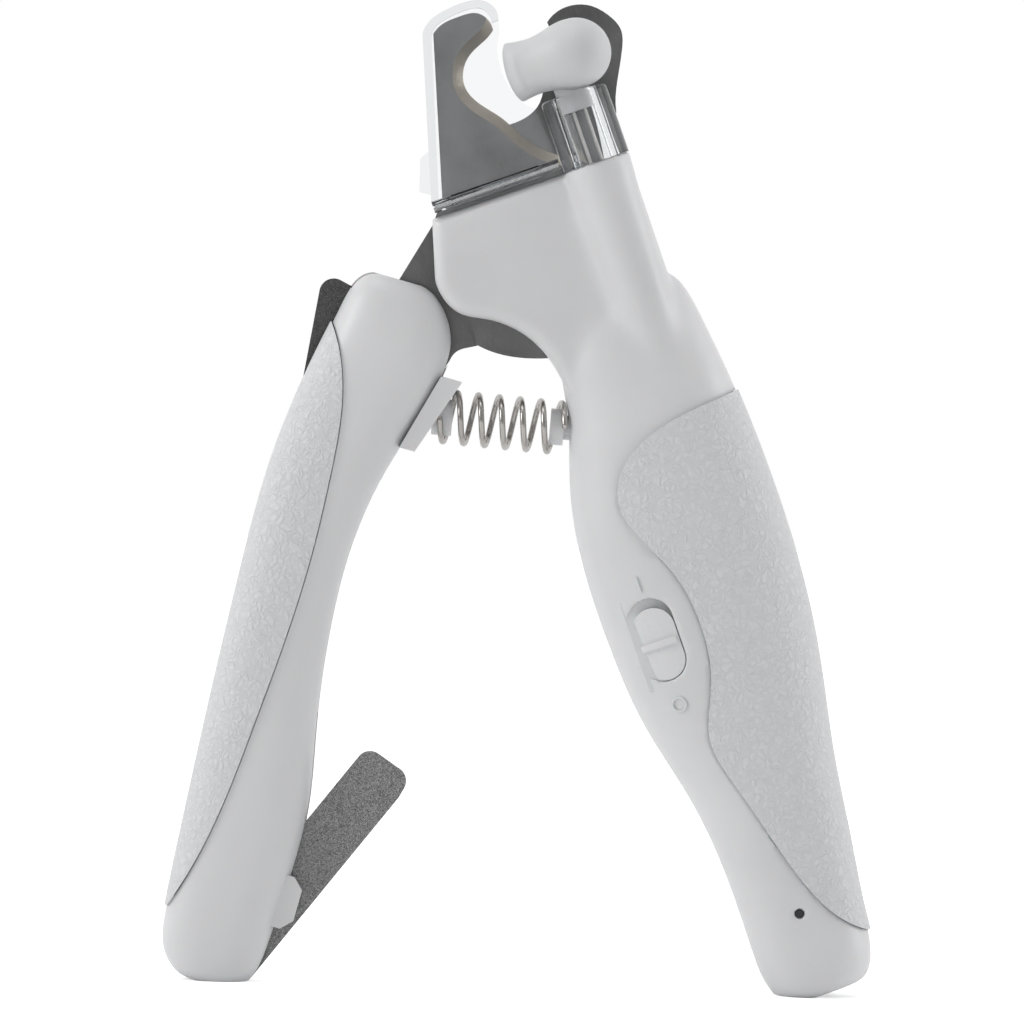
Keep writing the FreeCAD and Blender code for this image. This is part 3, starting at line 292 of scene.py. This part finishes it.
@dataclass(frozen=True)
class Leather:
    """White plastic moulded with a fine wrinkled leather grain."""

    name: str = "grip_leather"
    crest: Colour = (0.735, 0.74, 0.75, 1.0)
    # Painted shade: colour of the grain's grooves, darker than the crests.
    painted_groove_shade: Colour = (0.665, 0.67, 0.685, 1.0)
    cells: float = 780.0
    depth: float = 0.16 * MM
    wander: float = 3.4 * MM

    def build(self) -> bpy.types.Material:
        """Make the material.

        Returns:
            The material.
        """
        tree = Tree(self.name)
        tree.set(IOR=1.49, Specular_IOR_Level=0.4)
        warp = tree.nodes.new("ShaderNodeVectorMath")
        warp.operation = "MULTIPLY_ADD"
        wave = tree.nodes.new("ShaderNodeTexNoise")
        wave.inputs["Scale"].default_value = self.cells * 0.7
        wave.inputs["Detail"].default_value = 4.0
        tree.links.new(tree.coordinates, wave.inputs["Vector"])
        tree.links.new(wave.outputs["Color"], warp.inputs[0])
        warp.inputs[1].default_value = (self.wander,) * 3
        tree.links.new(tree.coordinates, warp.inputs[2])
        edges = tree.cells(self.cells, "DISTANCE_TO_EDGE", warp.outputs["Vector"]).outputs["Distance"]
        grain = tree.remap(edges, 0.0, 1.0, 0.0, 0.4)
        folds = tree.combine(grain, tree.noise(self.cells * 0.9, 5.0), 1.1)
        height = tree.remap(folds, 0.0, 1.0, 0.3, 1.2)
        # Painted shade: the grain is coloured darker towards its grooves, following fold height.
        tree.feed("Base Color", tree.blend(height, self.painted_groove_shade, self.crest))
        tree.feed("Roughness", tree.remap(folds, 0.56, 0.44, 0.3, 1.4))
        tree.bump(folds, self.depth, 0.8)
        return tree.material


@dataclass(frozen=True)
class BrushedSteel:
    """Steel with fine brush lines that run along one direction; ground edges are paler and warmer."""

    name: str
    colour: Colour
    shade: Colour
    turn: float = 0.0
    roughness: float = 0.32
    lines: float = 14000.0
    line_depth: float = 0.012 * MM
    ground: Optional[Colour] = None

    def build(self) -> bpy.types.Material:
        """Make the material.

        Returns:
            The material.
        """
        tree = Tree(self.name)
        tree.set(Metallic=1.0, Anisotropic=0.3)
        along = tree.mapped((1.0, 1.0, 0.05), self.turn)
        lines = tree.noise(self.lines, 3.0, along)
        cloud = tree.noise(90.0, 3.0)
        specks = tree.noise(self.lines * 0.35, 2.0)
        streaks = tree.remap(lines, 0.0, 1.0, 0.35, 0.65)
        mixed = tree.combine(tree.remap(cloud, 0.1, 0.6), streaks, 0.22)
        mixed = tree.combine(mixed, tree.remap(specks, 0.0, 1.0, 0.66, 0.72), 0.25)
        colour = tree.blend(mixed, self.shade, self.colour)
        if self.ground:
            colour = self.edge(tree, colour, lines)
        tree.feed("Base Color", colour)
        tree.feed("Roughness", tree.remap(lines, self.roughness - 0.05, self.roughness + 0.08))
        tree.bump(lines, self.line_depth, 0.5)
        return tree.material

    def edge(self, tree: Tree, colour: object, lines: object) -> object:
        """Lay the ground-edge colour over faces that don't look straight forward or back.

        Args:
            tree: the material's tree.
            colour: colour of the flat faces.
            lines: brush lines.

        Returns:
            The mixed colour.
        """
        geometry = tree.nodes.new("ShaderNodeNewGeometry")
        parts = tree.nodes.new("ShaderNodeSeparateXYZ")
        tree.links.new(geometry.outputs["True Normal"], parts.inputs["Vector"])
        size = tree.nodes.new("ShaderNodeMath")
        size.operation = "ABSOLUTE"
        tree.links.new(parts.outputs["Y"], size.inputs[0])
        slanted = tree.remap(size.outputs["Value"], 1.0, 0.0, 0.9, 0.97)
        mix = tree.nodes.new("ShaderNodeMix")
        mix.data_type = "RGBA"
        dim = tuple(channel * 0.7 for channel in self.ground[:3]) + (1.0,)
        pale = tree.blend(tree.remap(lines, 0.0, 1.0, 0.4, 0.6), dim, self.ground)
        tree.links.new(slanted, mix.inputs["Factor"])
        tree.links.new(colour, mix.inputs["A"])
        tree.links.new(pale, mix.inputs["B"])
        return mix.outputs["Result"]


@dataclass(frozen=True)
class Grit:
    """Abrasive grains bonded to steel."""

    name: str
    dark: Colour
    light: Colour
    grains: float
    depth: float
    metal: float

    def build(self) -> bpy.types.Material:
        """Make the material.

        Returns:
            The material.
        """
        tree = Tree(self.name)
        tree.set(Metallic=self.metal, Roughness=0.42)
        cells = tree.cells(self.grains)
        split = tree.nodes.new("ShaderNodeSeparateColor")
        tree.links.new(cells.outputs["Color"], split.inputs["Color"])
        tree.feed("Base Color", tree.blend(split.outputs["Red"], self.dark, self.light))
        tree.feed("Roughness", tree.remap(split.outputs["Green"], 0.25, 0.75, 0.0, 1.0))
        tree.bump(tree.combine(split.outputs["Blue"], cells.outputs["Distance"], -0.8), self.depth, 0.8)
        return tree.material


@dataclass(frozen=True)
class Clear:
    """Clear or frosted transparent plastic."""

    name: str
    colour: Colour
    roughness: float
    clearness: float
    ior: float = 1.46
    absorb: float = 0.0
    tint: Colour = (0.45, 0.50, 0.54, 1.0)
    ripple_depth: float = 0.03 * MM

    def build(self) -> bpy.types.Material:
        """Make the material.

        Returns:
            The material.
        """
        tree = Tree(self.name)
        tree.set(Transmission_Weight=self.clearness, IOR=self.ior, Base_Color=self.colour)
        sheen = tree.noise(500.0, 3.0)
        tree.feed("Roughness", tree.remap(sheen, self.roughness, self.roughness + 0.03))
        tree.bump(tree.noise(240.0, 2.0), self.ripple_depth, 0.4)
        if self.absorb > 0.0:
            depth = tree.nodes.new("ShaderNodeVolumeAbsorption")
            depth.inputs["Color"].default_value = self.tint
            depth.inputs["Density"].default_value = self.absorb
            tree.links.new(depth.outputs["Volume"], tree.nodes["Material Output"].inputs["Volume"])
        return tree.material


@dataclass(frozen=True)
class Coated:
    """Any other small part: one colour, gently varied in tone and sheen."""

    name: str
    colour: Colour
    metal: float = 0.0
    roughness: float = 0.4
    vary: float = 0.12
    scale: float = 900.0
    pore_depth: float = 0.01 * MM

    def build(self) -> bpy.types.Material:
        """Make the material.

        Returns:
            The material.
        """
        tree = Tree(self.name)
        tree.set(Metallic=self.metal)
        dim = tuple(channel * (1.0 - self.vary) for channel in self.colour[:3]) + (1.0,)
        tone = tree.remap(tree.noise(self.scale, 3.0), 0.0, 1.0)
        sheen = tree.noise(self.scale * 2.0, 2.0)
        tree.feed("Base Color", tree.blend(tone, dim, self.colour))
        tree.feed("Roughness", tree.remap(sheen, self.roughness - 0.05, self.roughness + 0.08))
        tree.bump(tree.noise(self.scale * 4.0, 2.0), self.pore_depth, 0.4)
        return tree.material


class Palette:
    """Every material of the clipper, one for each slot of the record."""

    def __init__(self) -> None:
        """Build the materials."""
        finishes = {
            "shell": Moulding(),
            "button": Moulding("button_moulding", (0.76, 0.765, 0.775, 1.0),
                               (0.73, 0.735, 0.745, 1.0), 0.3),
            "grip": Leather(),
            "blade": BrushedSteel("blade_steel", grey(0.30), grey(0.13), 0.35, 0.34,
                                  ground=(0.50, 0.46, 0.40, 1.0)),
            "bolt": BrushedSteel("bolt_steel", grey(0.48), grey(0.34), 0.0, 0.28),
            "pin": BrushedSteel("pin_steel", grey(0.5), grey(0.36), 0.0, 0.25),
            "screw_steel": BrushedSteel("screw_steel", grey(0.42), grey(0.3), 0.8, 0.3),
            "spring_wire": BrushedSteel("spring_wire", grey(0.60, 0.04), grey(0.36, 0.05), 1.57, 0.2),
            "coarse_grit": Grit("coarse_grit", grey(0.14), grey(0.44), 6500.0, 0.09 * MM, 0.5),
            "fine_grit": Grit("fine_grit", grey(0.045, 0.03), grey(0.15), 9000.0, 0.05 * MM, 0.6),
            "clear": Clear("clear_plastic", (0.975, 0.98, 0.985, 1.0), 0.02, 1.0, 1.42, 55.0),
            "frosted": Clear("frosted_plastic", (0.86, 0.865, 0.875, 1.0), 0.42, 0.35),
            "lens": Clear("lens_plastic", (0.98, 0.98, 0.97, 1.0), 0.05, 1.0),
            # Painted shade: the light pipe is coloured near black to stand for the shade inside its
            # pinhole.
            "light_pipe": Clear("light_pipe", (0.04, 0.04, 0.045, 1.0), 0.25, 0.2),
            "emitter": Clear("emitter_resin", (0.9, 0.86, 0.6, 1.0), 0.15, 0.5),
            "cell": Coated("cell_sleeve", (0.05, 0.13, 0.32, 1.0), 0.0, 0.3),
            "board": Coated("solder_mask", (0.02, 0.16, 0.06, 1.0), 0.0, 0.35),
            "switch_black": Coated("switch_black", grey(0.03), 0.0, 0.5),
            "socket_metal": Coated("plated_shell", grey(0.6), 1.0, 0.22),
            "lead": Coated("lead_tinned", grey(0.55, 0.03), 1.0, 0.35),
        }
        self.materials: Dict[str, bpy.types.Material] = {
            slot: finish.build() for slot, finish in finishes.items()}

    def dress(self, piece: bpy.types.Object, slot: str) -> None:
        """Give a piece one material.

        Args:
            piece: the mesh object.
            slot: slot of the record.
        """
        if piece.data.materials:
            for place in range(len(piece.data.materials)):
                piece.data.materials[place] = self.materials[slot]
        else:
            piece.data.materials.append(self.materials[slot])


# ---- helpers -------------------------------------------------------------------------------------


def deselect() -> None:
    """Deselect everything, in object mode."""
    bpy.ops.object.select_all(action="DESELECT")


def activate(piece: bpy.types.Object) -> None:
    """Make a piece the only selected and the active one.

    Args:
        piece: the object.
    """
    deselect()
    piece.select_set(True)
    bpy.context.view_layer.objects.active = piece


def settle(piece: bpy.types.Object, name: str, body: Body,
           nodes: Sequence[str] = ()) -> bpy.types.Object:
    """Name a finished piece, apply its place, and hand it to the frame.

    Args:
        piece: the finished mesh object.
        name: its name.
        body: body it rides on.
        nodes: frame nodes that it stands for, none for an added piece.

    Returns:
        The piece.
    """
    activate(piece)
    bpy.ops.object.transform_apply(location=True, rotation=True, scale=True)
    piece.name = name
    piece.data.name = name
    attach(piece, body.value)
    if nodes:
        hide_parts(*nodes)
    log.info("%s: %d faces", name, len(piece.data.polygons))
    return piece


def apply(piece: bpy.types.Object, modifier: bpy.types.Modifier) -> None:
    """Apply one modifier of the active piece.

    Args:
        piece: the object.
        modifier: its modifier, with every setting made.
    """
    bpy.context.view_layer.objects.active = piece
    bpy.ops.object.modifier_apply(modifier=modifier.name)


def relax(piece: bpy.types.Object, factor: float, passes: int, group: str = "") -> None:
    """Smooth a piece's faces.

    Args:
        piece: the active object.
        factor: strength of each pass.
        passes: how many.
        group: vertex group that limits it, all of the piece if left out.
    """
    smooth = piece.modifiers.new("relax", "SMOOTH")
    smooth.factor = factor
    smooth.iterations = passes
    smooth.vertex_group = group
    apply(piece, smooth)


def rounded_box(place: Vector, turn: Sequence[float], size: Sequence[float],
                edge: float) -> bpy.types.Object:
    """A box with rounded edges.

    Args:
        place: its middle.
        turn: its Euler angles.
        size: its sides.
        edge: radius of the edges.

    Returns:
        The box, with its turn and size applied.
    """
    deselect()
    bpy.ops.mesh.primitive_cube_add(size=1.0, location=place, rotation=turn)
    box = bpy.context.active_object
    box.scale = size
    bpy.ops.object.transform_apply(location=True, rotation=True, scale=True)
    bevel = box.modifiers.new("round", "BEVEL")
    bevel.width = edge
    bevel.segments = 3
    apply(box, bevel)
    return box


def joint(name: str) -> dict:
    """A joint of the record.

    Args:
        name: its name.

    Returns:
        The joint's entry.
    """
    return next(entry for entry in frame["record"]["behaviour"]["joints"] if entry["name"] == name)


def centre(node: str) -> Vector:
    """Middle of a frame node's box.

    Args:
        node: its name.

    Returns:
        The point in metres.
    """
    low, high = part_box(node)
    return (low + high) / 2


# ---- sub-assemblies ------------------------------------------------------------------------------


class Kept:
    """Frame nodes that keep their own mesh and only take a finish."""

    def __init__(self, palette: Palette) -> None:
        """Remember the palette.

        Args:
            palette: the materials.
        """
        self.palette = palette

    def dress(self) -> None:
        """Dress every node by the slot that the record gives it."""
        slots = {entry["node"]: entry["material_slot"] for entry in frame["record"]["subparts"]}
        for name, node in frame["nodes"].items():
            self.palette.dress(node, slots[name])
            log.info("%s: kept, %s", name, slots[name])


@dataclass(frozen=True)
class BlendSize:
    """Where and how the column runs into the housing."""

    voxel: float = 0.42 * MM
    passes: int = 90
    below_pivot: float = 58.0 * MM
    above_pivot: float = 3.5 * MM
    right_of_pivot: float = 3.0 * MM
    fade: float = 6.0 * MM
    skin_depth: float = 3.0 * MM
    merge: float = 0.002 * MM
    factor: float = 0.8
    even_factor: float = 0.5
    even_passes: int = 3
    sharpen: float = 32.0


class HousingCovers:
    """The front half of the housing, with the column blended into the neck as in one moulding."""

    def __init__(self, palette: Palette, size: BlendSize = BlendSize()) -> None:
        """Remember the sizes and the housing's own axes.

        Args:
            palette: the materials.
            size: sizes of the blend.
        """
        self.palette = palette
        self.size = size
        self.pivot = Vector(joint("handle_squeeze")["pos_m"])
        self.across = Vector(joint("catcher_flip")["axis"]).normalized()
        self.upward = Vector(joint("switch_slide")["axis"]).normalized()

    def weight(self, point: Vector) -> float:
        """How strongly a point of the cover is smoothed.

        Args:
            point: the point in the row frame.

        Returns:
            A share from 0 to 1.
        """
        size = self.size
        offset = point - self.pivot
        height = offset.dot(self.upward)
        across = offset.dot(self.across)
        ahead = self.pivot.y - size.skin_depth - point.y
        shares = ((height + size.below_pivot) / size.fade, (size.above_pivot - height) / size.fade,
                  (across - size.right_of_pivot) / size.fade, ahead / (0.5 * size.fade))
        return max(0.0, min(1.0, *shares))

    def cover(self, node: str, name: str) -> None:
        """Copy one half, close it into even faces and smooth its neck.

        Args:
            node: the frame node.
            name: name of the new piece.
        """
        activate(frame["nodes"][node])
        bpy.ops.object.duplicate()
        piece = bpy.context.active_object
        piece.data = piece.data.copy()
        bpy.ops.object.parent_clear(type="CLEAR_KEEP_TRANSFORM")
        bpy.ops.object.mode_set(mode="EDIT")
        bpy.ops.mesh.select_all(action="SELECT")
        bpy.ops.mesh.remove_doubles(threshold=self.size.merge)
        bpy.ops.object.mode_set(mode="OBJECT")
        remesh = piece.modifiers.new("even", "REMESH")
        remesh.mode = "VOXEL"
        remesh.voxel_size = self.size.voxel
        remesh.use_smooth_shade = True
        apply(piece, remesh)
        group = piece.vertex_groups.new(name="neck")
        for vertex in piece.data.vertices:
            share = self.weight(piece.matrix_world @ vertex.co)
            if share > 0.0:
                group.add([vertex.index], share, "REPLACE")
        relax(piece, self.size.factor, self.size.passes, group.name)
        relax(piece, self.size.even_factor, self.size.even_passes)
        bpy.ops.object.shade_smooth_by_angle(angle=math.radians(self.size.sharpen))
        self.palette.dress(piece, "shell")
        settle(piece, name, Body.HOUSING, [node])

    def build(self) -> None:
        """Make the front half; the back half keeps its own mesh."""
        self.cover("front_cover", "housing_front")


@dataclass(frozen=True)
class SwitchSize:
    """Sizes of the shutter under the thumb slide and of the moulded marks."""

    shutter: Tuple[float, float, float] = (8.2 * MM, 0.6 * MM, 15.4 * MM)
    shutter_depth: float = 2.7 * MM
    shutter_rise: float = 0.75 * MM
    shutter_edge: float = 0.15 * MM
    mark_offset: float = 10.4 * MM
    mark_height: float = 2.6 * MM
    mark_width: float = 0.42 * MM
    mark_depth: float = 0.6 * MM
    mark_edge: float = 0.12 * MM
    ring: float = 1.15 * MM
    proud: float = 0.10 * MM
    sight: float = 100.0 * MM


class SwitchTrim:
    """Shutter that closes the slot behind the thumb slide, and moulded on and off marks."""

    def __init__(self, palette: Palette, covers: HousingCovers, size: SwitchSize = SwitchSize()) -> None:
        """Remember the housing that the trim belongs to.

        Args:
            palette: the materials.
            covers: the housing covers, for their axes.
            size: sizes of the trim.
        """
        self.palette = palette
        self.covers = covers
        self.size = size
        self.middle = centre("switch_button")
        self.turn = math.atan2(covers.across.z, covers.across.x)

    def shutter(self) -> None:
        """A thin rounded plate just behind the wall, moving with the slide."""
        size = self.size
        low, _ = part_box("switch_button")
        place = Vector((self.middle.x, low.y + size.shutter_depth, self.middle.z))
        place += self.covers.upward * size.shutter_rise
        plate = rounded_box(place, (0.0, -self.turn, 0.0), size.shutter, size.shutter_edge)
        self.palette.dress(plate, "button")
        settle(plate, "switch_shutter", Body.SLIDER)

    def surface(self, spot: Vector) -> Tuple[Vector, Vector]:
        """The point of the housing's front skin in front of a spot, and its normal.

        Args:
            spot: a point inside the housing.

        Returns:
            The point on the skin and the outward normal there.
        """
        skin = bpy.data.objects["housing_front"]
        start = skin.matrix_world.inverted() @ Vector((spot.x, -self.size.sight, spot.z))
        hit, where, normal, _ = skin.ray_cast(start, Vector((0.0, 1.0, 0.0)))
        if not hit:
            return spot, Vector((0.0, -1.0, 0.0))
        return skin.matrix_world @ where, normal.normalized()

    def marks(self) -> None:
        """A bar above the slot for on and a ring below it for off."""
        size = self.size
        rise = self.covers.upward * size.mark_offset
        spot, normal = self.surface(self.middle + rise)
        side = self.covers.upward.cross(normal).normalized()
        turn = Matrix((side, -normal, side.cross(-normal))).transposed().to_euler()
        bar = rounded_box(spot + normal * size.proud, turn,
                          (size.mark_width, size.mark_depth, size.mark_height), size.mark_edge)
        self.palette.dress(bar, "shell")
        settle(bar, "mark_on", Body.HOUSING)
        deselect()
        spot, normal = self.surface(self.middle - rise)
        bpy.ops.mesh.primitive_torus_add(
            location=spot + normal * size.proud, rotation=normal.to_track_quat("Z", "Y").to_euler(),
            major_radius=size.ring, minor_radius=size.mark_width / 2,
            major_segments=40, minor_segments=10)
        ring = bpy.context.active_object
        bpy.ops.object.shade_smooth()
        self.palette.dress(ring, "shell")
        settle(ring, "mark_off", Body.HOUSING)

    def build(self) -> None:
        """Make the shutter and the marks."""
        self.shutter()
        self.marks()


@dataclass(frozen=True)
class CoilSize:
    """Sizes of the return spring."""

    radius: float = 4.1 * MM
    wire: float = 0.5 * MM
    turns: int = 6
    past_housing: float = 0.9 * MM
    past_handle: float = 1.5 * MM
    steps: int = 40
    sides: int = 12
    merge: float = 0.001 * MM
    keep: float = 0.36


class ReturnSpring:
    """Round-wire coil between the two handles."""

    def __init__(self, palette: Palette, size: CoilSize = CoilSize()) -> None:
        """Remember the sizes.

        Args:
            palette: the materials.
            size: sizes of the coil.
        """
        self.palette = palette
        self.size = size

    def run(self) -> Tuple[Vector, Vector]:
        """The coil's axis.

        Returns:
            The ends on the housing and on the slim handle, from the frame's own coil.
        """
        low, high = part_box("return_spring")
        peg = centre("spring_peg")
        seat = centre("spring_seat")
        along = (seat - peg).normalized()
        middle = (low + high) / 2
        reach = (high.x - low.x) - 2 * (self.size.radius + self.size.wire) * abs(along.z)
        half = reach / (2 * abs(along.x))
        start = middle - along * (half + self.size.past_housing)
        return start, middle + along * (half + self.size.past_handle)

    def build(self) -> None:
        """Sweep a wire section into a coil and stand it on its axis."""
        start, end = self.run()
        along = end - start
        size = self.size
        length = along.length - 2 * size.wire
        deselect()
        bpy.ops.mesh.primitive_circle_add(vertices=size.sides, radius=size.wire,
                                          location=(size.radius, 0, 0),
                                          rotation=(math.radians(90), 0, 0))
        coil = bpy.context.active_object
        bpy.ops.object.transform_apply(location=True, rotation=True, scale=True)
        screw = coil.modifiers.new("wind", "SCREW")
        screw.axis = "Z"
        screw.angle = math.tau
        screw.screw_offset = length / size.turns
        screw.iterations = size.turns
        screw.steps = size.steps
        screw.render_steps = size.steps
        screw.use_smooth_shade = True
        apply(coil, screw)
        bpy.ops.object.mode_set(mode="EDIT")
        bpy.ops.mesh.select_all(action="DESELECT")
        bpy.ops.mesh.select_mode(type="EDGE")
        bpy.ops.mesh.select_non_manifold()
        bpy.ops.mesh.fill_holes(sides=size.sides + 1)
        bpy.ops.mesh.select_all(action="SELECT")
        bpy.ops.mesh.remove_doubles(threshold=size.merge)
        bpy.ops.mesh.normals_make_consistent(inside=False)
        bpy.ops.object.mode_set(mode="OBJECT")
        coil.rotation_mode = "QUATERNION"
        coil.rotation_quaternion = along.to_track_quat("Z", "Y")
        coil.location = start + along.normalized() * size.wire
        self.palette.dress(coil, "spring_wire")
        settle(coil, "return_spring_coil", Body.HOUSING, ["return_spring"])
        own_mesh(coil)


# ---- studio --------------------------------------------------------------------------------------


@dataclass(frozen=True)
class StudioSize:
    """Camera, floor and light settings, in metres and degrees."""

    lens: float = 300.0
    view_width: float = 0.169
    sensor: float = 36.0
    elevation: float = 1.2
    roll: float = 1.5
    below_pivot: float = 0.0451
    right_of_pivot: float = 0.0030
    floor: float = 6.0
    floor_glow: float = 0.5
    front_light: float = 0.36
    side_light: float = 0.86
    front_reach: Tuple[float, float] = (-0.8, 0.25)
    aim_height: float = 0.08
    far_clip: float = 20.0


class Studio:
    """White floor, soft lights and the camera."""

    def __init__(self, size: StudioSize = StudioSize()) -> None:
        """Remember the settings.

        Args:
            size: the settings.
        """
        self.size = size
        self.pivot = Vector(joint("handle_squeeze")["pos_m"])

    def floor(self) -> None:
        """A white floor that keeps its contact shadows."""
        deselect()
        bpy.ops.mesh.primitive_plane_add(size=self.size.floor, location=(0, 0, 0))
        plane = bpy.context.active_object
        plane.name = "floor"
        tree = Tree("floor_white")
        tree.set(Roughness=0.9, Specular_IOR_Level=0.0, Emission_Color=WHITE)
        seen = tree.nodes.new("ShaderNodeLightPath").outputs["Is Camera Ray"]
        tree.feed("Emission Strength", tree.remap(seen, 0.0, self.size.floor_glow, 0.0, 1.0))
        tree.feed("Base Color", tree.blend(tree.noise(3.0), grey(0.94), grey(0.95)))
        plane.data.materials.append(tree.material)

    def world(self) -> None:
        """White surroundings, dimmer in front than at the sides, and plain white when seen."""
        world = bpy.data.worlds.new("surroundings")
        bpy.context.scene.world = world
        world.use_nodes = True
        nodes = world.node_tree.nodes
        links = world.node_tree.links
        path = nodes.new("ShaderNodeLightPath")
        direct = nodes["Background"]
        direct.inputs["Color"].default_value = WHITE
        sky = nodes.new("ShaderNodeTexCoord")
        parts = nodes.new("ShaderNodeSeparateXYZ")
        links.new(sky.outputs["Generated"], parts.inputs["Vector"])
        spread = nodes.new("ShaderNodeMapRange")
        start, end = self.size.front_reach
        for key, number in (("From Min", start), ("From Max", end),
                            ("To Min", self.size.front_light), ("To Max", self.size.side_light)):
            spread.inputs[key].default_value = number
        links.new(parts.outputs["Y"], spread.inputs["Value"])
        links.new(spread.outputs["Result"], direct.inputs["Strength"])
        seen = nodes.new("ShaderNodeBackground")
        seen.inputs["Color"].default_value = WHITE
        either = nodes.new("ShaderNodeMath")
        either.operation = "MAXIMUM"
        links.new(path.outputs["Is Camera Ray"], either.inputs[0])
        links.new(path.outputs["Is Transmission Ray"], either.inputs[1])
        mix = nodes.new("ShaderNodeMixShader")
        links.new(either.outputs["Value"], mix.inputs[0])
        links.new(direct.outputs["Background"], mix.inputs[1])
        links.new(seen.outputs["Background"], mix.inputs[2])
        links.new(mix.outputs["Shader"], nodes["World Output"].inputs["Surface"])

    def lamp(self, name: str, place: Sequence[float], width: float, power: float) -> None:
        """An area light aimed at the middle of the clipper.

        Args:
            name: its name.
            place: where it stands, in metres.
            width: side of the light.
            power: watts.
        """
        data = bpy.data.lights.new(name, "AREA")
        data.size = width
        data.energy = power
        lamp = bpy.data.objects.new(name, data)
        bpy.context.collection.objects.link(lamp)
        lamp.location = place
        target = Vector((0.0, 0.0, self.size.aim_height))
        lamp.rotation_euler = (target - lamp.location).to_track_quat("-Z", "Y").to_euler()

    def lights(self) -> None:
        """Wide soft lights from both sides and above, a little stronger on the left."""
        self.lamp("left", (-0.85, -0.30, 0.45), 0.4, 2.5)
        self.lamp("right", (0.9, 0.05, 0.30), 0.5, 1.6)
        self.lamp("above", (-0.1, -0.15, 1.0), 0.5, 1.3)

    def camera(self) -> None:
        """A long lens from the front, rolled a little."""
        size = self.size
        distance = size.view_width * size.lens / size.sensor
        target = self.pivot + Vector((size.right_of_pivot, 0.0, -size.below_pivot))
        tilt = math.radians(size.elevation)
        roll = math.radians(size.roll)
        back = Vector((0.0, -math.cos(tilt), math.sin(tilt)))
        upward = Vector((-math.sin(roll), 0.0, math.cos(roll)))
        right = upward.cross(back).normalized()
        upward = back.cross(right).normalized()
        data = bpy.data.cameras.new("camera")
        data.lens = size.lens
        data.sensor_width = size.sensor
        data.clip_end = size.far_clip
        camera = bpy.data.objects.new("camera", data)
        bpy.context.collection.objects.link(camera)
        camera.matrix_world = Matrix.Translation(target + back * distance) @ Matrix(
            (right, upward, back)).transposed().to_4x4()
        bpy.context.scene.camera = camera

    def build(self) -> None:
        """Set up everything around the clipper."""
        bpy.context.scene.view_settings.view_transform = "Standard"
        self.floor()
        self.world()
        self.lights()
        self.camera()


def main() -> None:
    """Build the clipper and its surroundings in order."""
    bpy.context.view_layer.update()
    palette = Palette()
    Kept(palette).dress()
    covers = HousingCovers(palette)
    covers.build()
    SwitchTrim(palette, covers).build()
    ReturnSpring(palette).build()
    Studio().build()


if __name__ == "__main__":
    main()
